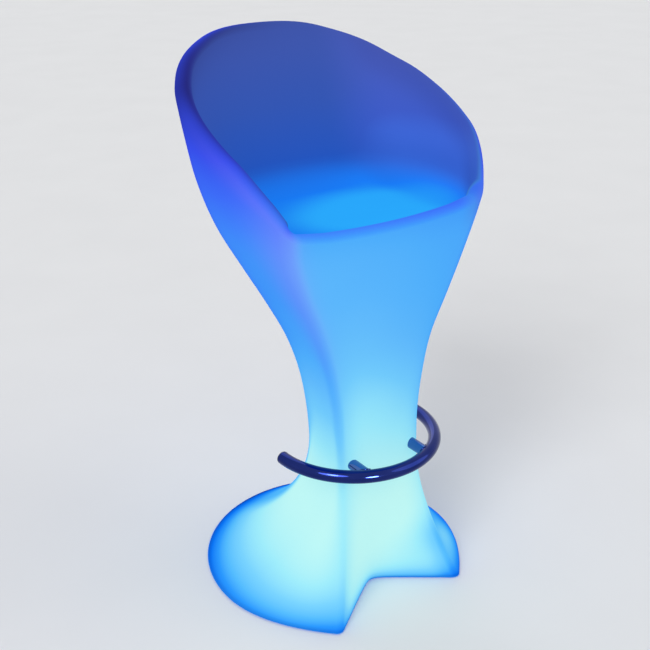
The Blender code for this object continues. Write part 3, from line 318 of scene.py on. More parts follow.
def rim_rows(outer, tops):
    """Rows round the rim's roll, from its outer side to its inner side."""
    inner = [outline_point(j, top, 2 * RIM_RADIUS) for j, top in enumerate(tops)]
    rows = []
    for i in range(1, RIM_ROWS + 1):
        a = math.pi * i / RIM_ROWS
        rise = Vector((0, 0, RIM_RADIUS * math.sin(a)))
        rows.append([p.lerp(q, (1 - math.cos(a)) / 2) + rise for p, q in zip(outer, inner)])
    return rows


def bowl_rows(tops):
    """Rows down the inside of the hood and across the seat, and the seat's middle point."""
    bends = []
    for top in tops:
        drop = top - SEAT_HEIGHT
        bends.append(SEAT_HEIGHT + drop * SEAT_FILLET_RISE / (drop + SEAT_FILLET_RISE))
    wall, fillet, seat = [], [], []
    for i in range(1, BACKREST_ROWS + 1):
        wall.append([outline_point(j, mix(tops[j], bends[j], i / BACKREST_ROWS), 2 * RIM_RADIUS)
                     for j in range(STATIONS)])
    centre = Vector((0, SEAT_CENTRE_BACK, SEAT_HEIGHT))
    corner = whole_outline(SEAT_HEIGHT, 2 * RIM_RADIUS)
    floor = [q + (centre - q).normalized() * SEAT_FILLET_RUN for q in corner]
    for i in range(1, FILLET_ROWS + 1):
        fillet.append([bent(a, b, c, i / FILLET_ROWS) for a, b, c in zip(wall[-1], corner, floor)])
    for i in range(1, SEAT_ROWS):
        r = 1 - i / SEAT_ROWS
        sink = Vector((0, 0, SEAT_DISH * (1 - r * r) ** 2))
        seat.append([centre.lerp(q, r) - sink for q in floor])
    return wall, fillet, seat, centre - Vector((0, 0, SEAT_DISH))


def inner_skin(rows, pole):
    """The cavity's skin: a thinned copy of the rows, moved one wall inwards, square to the surface."""
    count = len(rows[0])

    def face_normal(i, j):
        a, b = rows[i][j % count], rows[i][(j + 1) % count]
        c, d = rows[i + 1][(j + 1) % count], rows[i + 1][j % count]
        return (d - b).cross(c - a).normalized()

    moved = [[p + Vector((0, 0, WALL)) for p in rows[0]]]
    for i in range(1, len(rows)):
        row = []
        for j in range(count):
            faces = [face_normal(i - 1, j - 1), face_normal(i - 1, j)]
            if i + 1 < len(rows):
                faces += [face_normal(i, j - 1), face_normal(i, j)]
            mean = sum(faces, Vector()) / len(faces)
            row.append(rows[i][j] - mean * (WALL / mean.length_squared))
        moved.append(row)
    return moved, pole - Vector((0, 0, WALL))


# The moulding's light: where on the ramps of its material each point of the skin falls. Beside the lamp's
# glow it holds painted shade and a painted sheen. A pair that ends in RISE, FADE, TURN, RIGHT, BACK or END is
# where a change sets in, and the span over which it grows.

# Brightness up the front of the outside, in ten equal steps from the floor to the top
FRONT_GLOW = (0.94, 1, 1, 0.92, 0.80, 0.65, 0.57, 0.53, 0.38, 0.23, 0.14)
# Painted shade: how much of it is lost where the outside turns away from LIT_SIDE, in the same steps
LIMB_DIMMING = (0.62, 0.68, 0.68, 0.40, 0.16, 0.10, 0.08, 0.06, 0.06, 0.06, 0.06)
LIMB_SPANS = (0.22, 0.40)
LIMB_SPAN_RISE = (0.28, 0.1)
# The share of the limb's dimming left behind the limb, and where the outside faces the back or the right
BACK_LIMB_SHARE = 0.5
BACK_LIMB_TURN = (0, 0.6)
AWAY_LIMB_SHARE = 0.62
AWAY_TURN = (0.35, 0.4)
# Painted light and shade: what the stem and the hood gain or lose as they face from the left to the right, in
# ten equal steps
TURN_GAIN = (-0.13, -0.08, -0.03, 0.03, 0.04, 0, -0.06, -0.09, -0.08, -0.06, -0.05)
TURN_GAIN_RISE = (0.22, 0.25)
# The dimming towards the floor, and the height over which it fades
EDGE_DIMMING_FRONT = 0.55
EDGE_DIMMING_SIDE = 0.66
EDGE_DIMMING_BACK = 0.95
EDGE_DIMMING_HEIGHT_FRONT = 0.030
EDGE_DIMMING_HEIGHT_SIDE = 0.045
EDGE_DIMMING_HEIGHT_BACK = 0.040
EDGE_DIMMING_HEIGHT_NOTCH = 0.014
# Painted shade on the right end of the hood
HOOD_RIGHT_DIMMING = 0.10
HOOD_RIGHT = (0.19, 0.06)
HOOD_RIGHT_RISE = (HOOD_START_HEIGHT, 0.04)
# Painted shade in the crease: how much darker it is than the skin beside it, from the floor to the hood's
# start
CREASE_DIMMING = (0.20, 0.14, 0.10, 0.12, 0.08, 0.02, 0)
CREASE_WIDTH_STATIONS = 9
# Painted shade on the right toe: on its crease, halfway up the flare, and on its front
RIGHT_CREASE_DIMMING = 0.20
RIGHT_CREASE_STATIONS = 12
RIGHT_CREASE_HEIGHT = 0.10
RIGHT_CREASE_SPAN = 0.045
TOE_DIMMING = 0.05
TOE_SPAN = 0.08
TOE_HEIGHT = 0.06
# Painted sheen along the ridge between the front and the flank, and under the arm's rim
RIDGE_SHEEN = 0.37
RIDGE_SHEEN_RISE = (0.40, 0.38)
RIDGE_FLANK_STATIONS = 13
RIDGE_FRONT_STATIONS = 5
ARM_SHEEN = 0.36
ARM_SHEEN_TURN = (-0.1, 0.6)
ARM_SHEEN_DEPTH = 0.030
ARM_SHEEN_FADE = (HOOD_START_HEIGHT, 0.22)
RIGHT_SHEEN_SHARE = 0.15
# Painted dusk shade along the foot's bottom edge, and where the foot's own ramp gives way to the hood's
FOOT_DUSK = 0.35
FOOT_DUSK_FADE = (FOOT_LIFT, 0.008)
LOW_FADE = (0.18, 0.22)
# The right end of the rim's front, where light from outside and inside run into each other, with painted dusk
# shade and painted sheen
RIM_END = (0.15, 0.05)
RIM_END_DEPTH = 0.06
RIM_END_DUSK = 0.13
RIM_END_SHEEN = 0.08
# Brightness up the inside of the hood, in five equal steps from the seat to the top
WALL_GLOW = (0.62, 0.50, 0.40, 0.28, 0.16, 0.08)
WALL_GLOW_RISE = (0.004, 0.045)
# What the inside's right gains in light and in painted sheen near the seat and, on top of that, higher up
INSIDE_RIGHT = (0.10, 0.12)
INSIDE_ABOVE_RISE = (0.15, 0.2)
INSIDE_GAIN = 0.06
INSIDE_GAIN_ABOVE = 0.09
INSIDE_SHEEN = 0.07
INSIDE_SHEEN_ABOVE = 0.05
INSIDE_SHEEN_RISE = (0, 0.15)
# The seat: its bright patch, and how much darker it is at the back and the right
SEAT_GLOW = (0.99, 0.80)
SEAT_BRIGHT_CENTRE = Vector((0.055, -0.02))
SEAT_BRIGHT_HALF_WIDTH = 0.165
SEAT_BRIGHT_HALF_DEPTH = 0.12
SEAT_BRIGHT_FADE = (0.68, 0.65)
SEAT_BACK_DIMMING = 0.10
SEAT_BACK = (0.10, 0.1)
SEAT_RIGHT_DIMMING = 0.07
SEAT_RIGHT = (0.13, 0.05)
# The rim's roll: its back, front and right, and the painted dusk shade along its crest, with its place and
# spread across
RIM_BACK_GAIN = 1.1
RIM_FRONT_TURN = (0.4, 0.4)
RIM_RIGHT = (-0.22, 0.34)
RIM_DUSK_LEFT = 0.45
RIM_DUSK_BACK = 0.70
RIM_DUSK_RIGHT = 0.06
RIM_DUSK_FRONT = (0.45, 0.12)
RIM_DUSK_PLACE = (0.72, 0.86)
RIM_DUSK_SPREAD = (0.27, 0.16)
RIM_FRONT_DIMMING = 0.15
RIM_END_RELIEF = 0.8
RIM_INSIDE_START = (0.6, 0.15)
RIM_INSIDE_SPAN = 0.4
RIM_SHEEN_FADE = (0.05, 0.45)
# Brightness of the underside at the lamp opening, the panel's edge, the foot's ring and beyond
UNDER_GLOW = (0.62, 0.20, 0.46, 0.40)
# Painted dusk shade over the underside
UNDER_DUSK = 0.2
# The side towards the camera, from which the painted limb shade and the arm's painted sheen are reckoned
LIT_SIDE = (Vector(CAMERA_PLACE) - Vector((0, 0, TOTAL_HEIGHT / 2))).normalized()


def grown(value, start, span):
    """How far a value has come, from 0 at the start to 1 one span later, along a smooth step."""
    return smooth_step((value - start) / span)


def outward(station, z):
    """The direction square to the outside."""
    run = outline_point(station + 1, z) - outline_point(station - 1, z)
    rise = outline_point(station, z + WALL) - outline_point(station, max(z - WALL, 0))
    return rise.cross(run).normalized()


def from_crease(station):
    """Stations past the nearer crease: negative on the flank, positive on the front."""
    j = station % STATIONS
    return min(j, STATIONS - j) - TOE_STATION


def outside_light(p, station, top):
    """Light with painted shade in it, painted sheen, painted dusk shade and lowness at a point of the
    outside, below the rim's foot at the height top.
    """
    normal = outward(station, min(p.z, top))
    flat = Vector(normal[:2]).normalized()
    face, back = clamp(-flat.y), clamp(flat.y)
    toward = normal.dot(LIT_SIDE)
    off = from_crease(station)
    up = p.z / TOTAL_HEIGHT

    limb = along(LIMB_DIMMING, up) * (1 - grown(toward, 0, mix(*LIMB_SPANS, grown(p.z, *LIMB_SPAN_RISE))))
    limb *= mix(1, BACK_LIMB_SHARE, grown(-toward, *BACK_LIMB_TURN))
    limb *= mix(1, AWAY_LIMB_SHARE, grown(max(flat.x, flat.y), *AWAY_TURN))
    height = mix(EDGE_DIMMING_HEIGHT_SIDE, EDGE_DIMMING_HEIGHT_FRONT, face)
    height = mix(height, EDGE_DIMMING_HEIGHT_NOTCH, grown(off, 0, FRONT_STEPS / 2))
    height = mix(height, EDGE_DIMMING_HEIGHT_BACK, back)
    edge = mix(mix(EDGE_DIMMING_SIDE, EDGE_DIMMING_FRONT, face), EDGE_DIMMING_BACK, back)
    light = along(FRONT_GLOW, up) + along(TURN_GAIN, (flat.x + 1) / 2) * grown(p.z, *TURN_GAIN_RISE)
    light -= math.hypot(limb, edge * math.exp(-p.z / height))
    light -= HOOD_RIGHT_DIMMING * grown(p.x, *HOOD_RIGHT) * grown(p.z, *HOOD_RIGHT_RISE)
    light -= along(CREASE_DIMMING, p.z / HOOD_START_HEIGHT) * math.exp(-(off / CREASE_WIDTH_STATIONS) ** 2)
    if p.x > 0:
        rise = (p.z - RIGHT_CREASE_HEIGHT) / RIGHT_CREASE_SPAN
        light -= RIGHT_CREASE_DIMMING * math.exp(-(off / RIGHT_CREASE_STATIONS) ** 2 - rise * rise)
        light -= TOE_DIMMING * grown(p.x, 0, TOE_SPAN) * (1 - grown(p.z, TOE_HEIGHT, TOE_SPAN))

    spread = RIDGE_FLANK_STATIONS if off < 0 else RIDGE_FRONT_STATIONS
    lilac_sheen = RIDGE_SHEEN * math.exp(-(off / spread) ** 2) * grown(p.z, *RIDGE_SHEEN_RISE)
    if off < 0:
        below = (top - p.z) / ARM_SHEEN_DEPTH
        arm = ARM_SHEEN * grown(toward, *ARM_SHEEN_TURN) * (1 - grown(top, *ARM_SHEEN_FADE))
        lilac_sheen = max(lilac_sheen, arm * math.exp(-below * below))
    if p.x >= 0:
        lilac_sheen *= RIGHT_SHEEN_SHARE
    end = grown(p.x, *RIM_END) * grown(p.z, top - RIM_END_DEPTH, RIM_END_DEPTH)
    lilac_sheen += RIM_END_SHEEN * end
    dusk = FOOT_DUSK * (1 - grown(p.z, *FOOT_DUSK_FADE)) + RIM_END_DUSK * end
    return clamp(light), lilac_sheen, dusk, 1 - grown(p.z, *LOW_FADE)


def inside_light(p):
    """Light and painted sheen at a point of the hood's inside or the seat."""
    up = (p.z - SEAT_HEIGHT) / (TOTAL_HEIGHT - SEAT_HEIGHT)
    right = grown(p.x, *INSIDE_RIGHT)
    above = grown(up, *INSIDE_ABOVE_RISE)
    wall = along(WALL_GLOW, up) + (INSIDE_GAIN + INSIDE_GAIN_ABOVE * above) * right
    off = Vector(((p.x - SEAT_BRIGHT_CENTRE.x) / SEAT_BRIGHT_HALF_WIDTH,
                  (p.y - SEAT_BRIGHT_CENTRE.y) / SEAT_BRIGHT_HALF_DEPTH)).length
    seat = mix(*SEAT_GLOW, grown(off, *SEAT_BRIGHT_FADE))
    seat -= SEAT_BACK_DIMMING * grown(p.y, *SEAT_BACK) + SEAT_RIGHT_DIMMING * grown(p.x, *SEAT_RIGHT)
    lilac_sheen = (INSIDE_SHEEN * grown(up, *INSIDE_SHEEN_RISE) + INSIDE_SHEEN_ABOVE * above) * right
    return clamp(mix(seat, wall, grown(p.z - SEAT_HEIGHT, *WALL_GLOW_RISE))), lilac_sheen


def rim_light(p, station, top, t):
    """On the rim's roll, t running from 0 outside to 1 inside: light with painted shade in it, inside,
    painted sheen, painted dusk shade and lowness.
    """
    light, lilac_sheen, dusk, low = outside_light(p, station, top)
    lit_inside, inside_sheen = inside_light(p)
    back = smooth_step((p.y + RIM_START_REACH) / (RIM_START_REACH + HOOD_BACK_REACH) * RIM_BACK_GAIN)
    front = grown(-outward(station, top).y, *RIM_FRONT_TURN)
    right = grown(p.x, *RIM_RIGHT)
    crest = mix(mix(mix(RIM_DUSK_LEFT, RIM_DUSK_BACK, back), RIM_DUSK_RIGHT, right),
                mix(*RIM_DUSK_FRONT, right), front)
    dusk += crest * math.exp(-((t - mix(*RIM_DUSK_PLACE, front)) / mix(*RIM_DUSK_SPREAD, front)) ** 2)
    relief = 1 - RIM_END_RELIEF * grown(p.x, *RIM_END)
    light -= RIM_FRONT_DIMMING * math.sin(math.pi * min(t, 1)) * front * relief
    inside = grown(t, mix(*RIM_INSIDE_START, right * (1 - front)), RIM_INSIDE_SPAN)
    lilac_sheen = mix(lilac_sheen * (1 - grown(t, *RIM_SHEEN_FADE)), inside_sheen, inside)
    return mix(clamp(light), lit_inside, inside), inside, lilac_sheen, clamp(dusk), low


def shell_rows():
    """Every row of the skin with the light, painted shade and painted sheen at each of its points, and the
    seat's middle.
    """
    tops = [rim_base(j) for j in range(HALF_STEPS + 1)]
    tops += tops[1:HALF_STEPS][::-1]
    under = underside_rows()
    outside = outside_rows(tops)
    rim = rim_rows(outside[-1], tops)
    wall, fillet, seat, middle = bowl_rows(tops)
    lights = []
    for i, row in enumerate(under):
        lights.append([(UNDER_GLOW[min(i, len(UNDER_GLOW) - 1)], 0, 0, UNDER_DUSK, 1)] * len(row))
    for row in outside:
        shades = (outside_light(p, j, tops[j]) for j, p in enumerate(row))
        lights.append([(light, 0, lilac_sheen, dusk, low) for light, lilac_sheen, dusk, low in shades])
    for i, row in enumerate(rim + wall, 1):
        lights.append([rim_light(p, j, tops[j], i / RIM_ROWS) for j, p in enumerate(row)])
    for row in fillet + seat:
        shades = (inside_light(p) for p in row)
        lights.append([(light, 1, lilac_sheen, 0, 0) for light, lilac_sheen in shades])
    return under, outside, rim + wall + fillet + seat, lights, middle


# Layers at each point: the glow with painted shade in it, the inside's share, the painted sheen, the painted
# dusk shade and the lowness
LIGHT_LAYERS = ("light", "inside", "lilac_sheen", "dusk", "low")


def glowing_shell():
    """The moulding as one closed skin: outside, rim, bowl and seat, and the cavity behind them."""
    under, outside, bowl, lights, middle = shell_rows()
    rows = under + outside + bowl
    first_rim = len(under) + len(outside)
    # The rows that the cavity follows, thinned out past the bottom edge
    kept = list(range(len(under) - EDGE_ROWS + 1))
    kept += range(len(under) + 2, first_rim - 2, SKIN_THINNING)
    kept += range(first_rim - 1, len(rows), SKIN_THINNING)
    cavity, cavity_middle = inner_skin([rows[i][::SKIN_THINNING] for i in kept], middle)

    bm = bmesh.new()
    layers = [bm.verts.layers.float.new(name) for name in LIGHT_LAYERS]

    def add(p, values):
        made = bm.verts.new(p + STEM)
        for layer, value in zip(layers, values):
            made[layer] = value
        return made

    def skin(grid, shades, tip_place, order):
        """Faces from row to row and from the last row to the tip. The first row is the open edge."""
        verts = [[add(p, values) for p, values in zip(*pair)] for pair in zip(grid, shades)]
        tip = add(tip_place, shades[-1][0])
        for lower, upper in zip(verts, verts[1:]):
            for j in range(len(lower)):
                k = (j + 1) % len(lower)
                bm.faces.new((lower[j], upper[j], upper[k], lower[k])[::order])
        last = verts[-1]
        for j in range(len(last)):
            bm.faces.new((last[j], tip, last[(j + 1) % len(last)])[::order])
        return verts[0]

    outer_edge = skin(rows, lights, middle, 1)
    inner_edge = skin(cavity, [[()] * len(row) for row in cavity], cavity_middle, -1)
    for k in range(len(inner_edge)):
        j = SKIN_THINNING * k
        near, far = inner_edge[k], inner_edge[(k + 1) % len(inner_edge)]
        ring = [outer_edge[(j + step) % len(outer_edge)] for step in range(SKIN_THINNING + 1)]
        bm.faces.new((near, ring[-1], far))
        for a, b in zip(ring, ring[1:]):
            bm.faces.new((near, a, b))
    piece("glowing_shell", bm, shell_finish(), ("moulded_shell",), turn_out=False)


# Pieces


SMOOTH_ANGLE = math.radians(40)


def face_out(bm):
    bmesh.ops.recalc_face_normals(bm, faces=bm.faces)


def piece(name, bm, material, replaced=(), body="stool", turn_out=True):
    """A named piece of the scene that rides on a body and may stand for CAD nodes."""
    mesh = bpy.data.meshes.new(name)
    if turn_out:
        face_out(bm)
    bm.normal_update()
    bm.to_mesh(mesh)
    bm.free()
    mesh.shade_smooth()
    mesh.set_sharp_from_angle(angle=SMOOTH_ANGLE)
    mesh.materials.append(material)
    made = bpy.data.objects.new(name, mesh)
    bpy.context.scene.collection.objects.link(made)
    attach(made, body)
    if replaced:
        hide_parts(*replaced)


def neighbours(rings, closed):
    """Each ring with the next one, and the last with the first where they close."""
    return list(zip(rings, rings[1:] + rings[:1] if closed else rings[1:]))


def turn(bm, profile, sides, matrix=Matrix(), closed=False):
    """Turn (radius, height) points about Z: a closed loop, or a profile that starts and ends on the axis."""
    rings = []
    for radius, height in profile:
        if radius == 0:
            rings.append([bm.verts.new(matrix @ Vector((0, 0, height)))])
        else:
            angles = (math.tau * (i + 0.5) / sides for i in range(sides))
            rings.append([bm.verts.new(matrix @ Vector((radius * math.cos(a), radius * math.sin(a), height)))
                          for a in angles])
    for low, high in neighbours(rings, closed):
        for i in range(sides):
            k = (i + 1) % sides
            face = [low[i % len(low)], low[k % len(low)], high[k % len(high)], high[i % len(high)]]
            unique = [v for n, v in enumerate(face) if v not in face[:n]]
            if len(unique) > 2:
                bm.faces.new(unique)
    return bm


def rod(bm, place, radius, low, high, sides):
    """A full cylinder between two levels of a turning place."""
    turn(bm, [(0, low), (radius, low), (radius, high), (0, high)], sides, place)


def swept(bm, path, outs, ups, radius, sides, closed=False):
    """A round tube along a path, with each point's two cross directions."""
    rings = []
    for p, out, up in zip(path, outs, ups):
        rings.append([bm.verts.new(p + out * radius * math.cos(math.tau * k / sides)
                                   + up * radius * math.sin(math.tau * k / sides)) for k in range(sides)])
    for a, b in neighbours(rings, closed):
        for k in range(sides):
            n = (k + 1) % sides
            bm.faces.new((a[k], b[k], b[n], a[n]))
    return rings


RING_STEPS = 96
RING_SIDES = 32
CAP_EDGE = 0.0006
CAP_STEPS = 9
BEAD_STEPS = 72
BEAD_SIDES = 10
BEAD_RIPPLE = 0.2
SIDES = (("left", -1), ("right", 1))


def chrome_ring():
    """The footrest's half ring, from its left end to its right."""
    centre = Vector((0, FOOTREST_BACK, FOOTREST_HEIGHT)) + STEM
    angles = [math.pi * (1 + i / RING_STEPS) for i in range(RING_STEPS + 1)]
    outs = [Vector((math.cos(a), math.sin(a), 0)) for a in angles]
    points = [centre + out * FOOTREST_RADIUS for out in outs]
    ups = [Vector((0, 0, 1))] * len(outs)
    bm = bmesh.new()
    outer = swept(bm, points, outs, ups, TUBE_RADIUS, RING_SIDES)
    inner = swept(bm, points, outs, ups, TUBE_RADIUS - TUBE_WALL, RING_SIDES)
    for end in (0, -1):
        for k in range(RING_SIDES):
            n = (k + 1) % RING_SIDES
            bm.faces.new((outer[end][k], inner[end][k], inner[end][n], outer[end][n]))
    piece("chrome_ring", bm, FINISH["chrome"], ("footrest_ring",))


def along_y(x, y):
    """A turning place at the footrest's height whose axis runs along +Y."""
    place = Matrix.Translation(Vector((x, y, FOOTREST_HEIGHT)) + STEM)
    return place @ Matrix.Rotation(-math.pi / 2, 4, "X")


def ring_caps():
    bore = TUBE_RADIUS - TUBE_WALL - CAP_PLAY
    profile = [(0, -CAP_PLUG), (bore, -CAP_PLUG), (bore, GAP), (TUBE_RADIUS - CAP_EDGE, GAP)]
    for i in range(CAP_STEPS):
        a = math.pi / 2 * i / CAP_STEPS
        profile.append((TUBE_RADIUS * math.cos(a), GAP + CAP_EDGE + (CAP_DOME - CAP_EDGE) * math.sin(a)))
    profile.append((0, GAP + CAP_DOME))
    for name, side in SIDES:
        bm = turn(bmesh.new(), profile, RING_SIDES, along_y(side * FOOTREST_RADIUS, FOOTREST_BACK))
        piece("cap_" + name, bm, FINISH["black_plastic"], ("ring_cap_" + name,))


def saddle(x, radius, sides):
    """The loop where a leg of this radius meets the outside of the ring's tube, and the way out of both."""
    loop, away = [], []
    for i in range(sides):
        a = math.tau * i / sides
        px, pz = x + radius * math.cos(a), radius * math.sin(a)
        reach = FOOTREST_RADIUS - math.sqrt(max(TUBE_RADIUS ** 2 - pz ** 2, 0))
        py = -math.sqrt(max(reach ** 2 - px ** 2, 0))
        loop.append(Vector((px, py + FOOTREST_BACK, pz + FOOTREST_HEIGHT)) + STEM)
        round_leg = Vector((math.cos(a), 0, math.sin(a)))
        off_ring = Vector((px, py, 0)).normalized() * (reach - FOOTREST_RADIUS) + Vector((0, 0, pz))
        away.append((round_leg + off_ring.normalized()).normalized())
    return loop, away


def chrome_legs():
    """The legs run into the ring's tube, with the weld's bead where they meet it."""
    start = FOOTREST_BACK - math.sqrt(FOOTREST_RADIUS ** 2 - LEG_SPREAD ** 2)
    bore = LEG_RADIUS - TUBE_WALL
    profile = [(LEG_RADIUS, start), (LEG_RADIUS, LEG_END), (bore, LEG_END), (bore, start)]
    for name, side in SIDES:
        bm = turn(bmesh.new(), profile, RING_SIDES, along_y(side * LEG_SPREAD, 0), closed=True)
        piece("chrome_leg_" + name, bm, FINISH["leg_chrome_painted_reflection"], ("footrest_leg_" + name,))

        loop, away = saddle(side * LEG_SPREAD, LEG_RADIUS, BEAD_STEPS)
        runs = [(loop[(i + 1) % BEAD_STEPS] - loop[i - 1]).normalized() for i in range(BEAD_STEPS)]
        crossways = [run.cross(out).normalized() for run, out in zip(runs, away)]
        path = [p + out * WELD_RADIUS * BEAD_RIPPLE * (i % 2) for i, (p, out) in enumerate(zip(loop, away))]
        bead = bmesh.new()
        swept(bead, path, away, crossways, WELD_RADIUS, BEAD_SIDES, closed=True)
        piece("weld_bead_" + name, bead, FINISH["chrome"])


# Under the foot
SCREW_HEAD_RADIUS = 0.0035
SCREW_RADIUS = 0.0015
SCREW_HEAD = 0.0022
SCREW_HEAD_ROUND = 0.0012
CROSS_LENGTH = 0.0040
CROSS_WIDTH = 0.0007
CROSS_DEPTH = 0.0011
BUTTON_TRAVEL_WALL = 0.0070
BUTTON_FLANGE = 0.0012
BUTTON_EDGE = 0.0010
BUTTON_DISH = 0.0007
PAD_EDGE = 0.0006
PAD_GROOVE = (0.0060, 0.0075)
RIB_HEIGHT = 0.0007
RIB_WIDTH = 0.0016
RIB_RADII = (0.0300, 0.0610)
PLATE_SCREWS = 6
PLATE_POSTS = 3
PLATE_BEZELS = 3
CUT_OVERRUN = 0.0030
PLATE_SIDES = 96
PLATE_RADIUS = 0.088
PLATE_THICKNESS = 0.0045
PLATE_BEVEL = 0.001
LIP_RADIUS = 0.0643
LIP_WALL = 0.002
LIP_HEIGHT = 0.003
POST_CIRCLE = 0.0545
POST_RADIUS = 0.0035
POST_BORE = 0.0016
POST_BORE_DEPTH = 0.0083
BOSS_SPREAD = 0.0225
BOSS_FRONT = 0.0435
BOSS_RADIUS = 0.0025
BOSS_HEIGHT = 0.0062
BUTTON_RADII = (("power_button", 0.0050), ("mode_button", 0.0038))
HOLE_RADII = BUTTON_RADII + (("remote_window", 0.0030), ("charge_socket", 0.0042))
BEZEL_WIDTH = 0.0013
FLAP_CORNER = 0.0030
FLAP_EDGE = 0.0003
FLAP_GRIPS = 3
FLAP_GRIP_PITCH = 0.0016
FLAP_GRIP_RADIUS = 0.0004
FINE_SIDES = 64
SMALL_SIDES = 32
ROUND_PARTS = 6


def stand(node):
    """The middle of a CAD node in the plan, as a turning place, and its lowest and highest level."""
    low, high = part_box(node)
    return Matrix.Translation(((low.x + high.x) / 2, (low.y + high.y) / 2, 0)), low.z, high.z


def half_width(node):
    low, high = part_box(node)
    return (high.x - low.x) / 2


def prism(outline, low, high):
    """An upright form with this outline between two levels."""
    bm = bmesh.new()
    base = bm.faces.new([bm.verts.new((x, y, low)) for x, y in outline])
    copied = bmesh.ops.extrude_face_region(bm, geom=[base])["geom"]
    upper = [v for v in copied if isinstance(v, bmesh.types.BMVert)]
    bmesh.ops.translate(bm, vec=(0, 0, high - low), verts=upper)
    face_out(bm)
    return bm


def joined(bm, other, operation):
    """The first form with the second cut out of it, or added to it."""
    whole, tool = (bpy.data.objects.new("carving", bpy.data.meshes.new("carving")) for _ in range(2))
    for holder, form in ((whole, bm), (tool, other)):
        face_out(form)
        form.to_mesh(holder.data)
        form.free()
        bpy.context.scene.collection.objects.link(holder)
    change = whole.modifiers.new("change", "BOOLEAN")
    change.operation = operation
    change.solver = "EXACT"
    change.object = tool
    bpy.context.view_layer.update()
    result = bmesh.new()
    result.from_object(whole, bpy.context.evaluated_depsgraph_get())
    for holder in (whole, tool):
        mesh = holder.data
        bpy.data.objects.remove(holder)
        bpy.data.meshes.remove(mesh)
    return result


def quarter(radius, height, turn_in, drop):
    """A quarter round from the flat at this height out to the side at this radius."""
    points = []
    for i in range(ROUND_PARTS + 1):
        a = math.pi / 2 * i / ROUND_PARTS
        points.append((radius - turn_in * (1 - math.sin(a)), height + drop * (1 - math.cos(a))))
    return points


def plate_screws():
    """The plate's screws, each with a cross recess in its round head."""
    long, wide = CROSS_LENGTH / 2, CROSS_WIDTH / 2
    outline = []
    for x, y in ((1, 0), (0, 1), (-1, 0), (0, -1)):
        outline += [(x * long + y * wide, y * long - x * wide), (x * long - y * wide, y * long + x * wide),
                    ((x - y) * wide, (x + y) * wide)]
    _, low, high = stand("plate_screw_1")
    profile = [(0, 0)] + quarter(SCREW_HEAD_RADIUS, 0, SCREW_HEAD_ROUND, SCREW_HEAD_ROUND)
    profile += [(SCREW_HEAD_RADIUS, SCREW_HEAD), (SCREW_RADIUS, SCREW_HEAD), (SCREW_RADIUS, high - low),
                (0, high - low)]
    recess = prism(outline, -CROSS_DEPTH, CROSS_DEPTH)
    screw = joined(turn(bmesh.new(), profile, SMALL_SIDES), recess, "DIFFERENCE")
    for i in range(1, PLATE_SCREWS + 1):
        place, low, _ = stand(f"plate_screw_{i}")
        bm = screw.copy()
        bm.transform(place @ Matrix.Translation((0, 0, low)) @ Matrix.Rotation(i, 4, "Z"))
        piece(f"cross_screw_{i}", bm, FINISH["steel"], (f"plate_screw_{i}",), turn_out=False)
    screw.free()


def buttons():
    for name, radius in BUTTON_RADII:
        place, low, high = stand(name)
        shoulder = low + BUTTON_TRAVEL_WALL
        flange = half_width(name)
        profile = [(0, low + BUTTON_DISH)]
        for i in range(1, ROUND_PARTS):
            share = i / ROUND_PARTS
            profile.append(((radius - BUTTON_EDGE) * share, low + BUTTON_DISH * (1 - share * share)))
        profile += quarter(radius, low, BUTTON_EDGE, BUTTON_EDGE)
        profile += [(radius, shoulder), (flange, shoulder), (flange, shoulder + BUTTON_FLANGE),
                    (radius / 2, shoulder + BUTTON_FLANGE), (radius / 2, high), (0, high)]
        bm = turn(bmesh.new(), profile, SMALL_SIDES, place)
        piece(name + "_cap", bm, FINISH["white_plastic"], (name,), body=name)


def foot_pads():
    inner, outer = PAD_GROOVE
    for name in ("back", "left", "right", "front_left", "front_right"):
        place, low, high = stand("foot_pad_" + name)
        radius = half_width("foot_pad_" + name)
        profile = [(0, low), (inner, low), (inner, low + PAD_EDGE), (outer, low + PAD_EDGE), (outer, low)]
        profile += quarter(radius, low, PAD_EDGE, PAD_EDGE) + [(radius, high), (0, high)]
        bm = turn(bmesh.new(), profile, FINE_SIDES, place)
        piece("pad_" + name, bm, FINISH["grey_rubber"], ("foot_pad_" + name,))


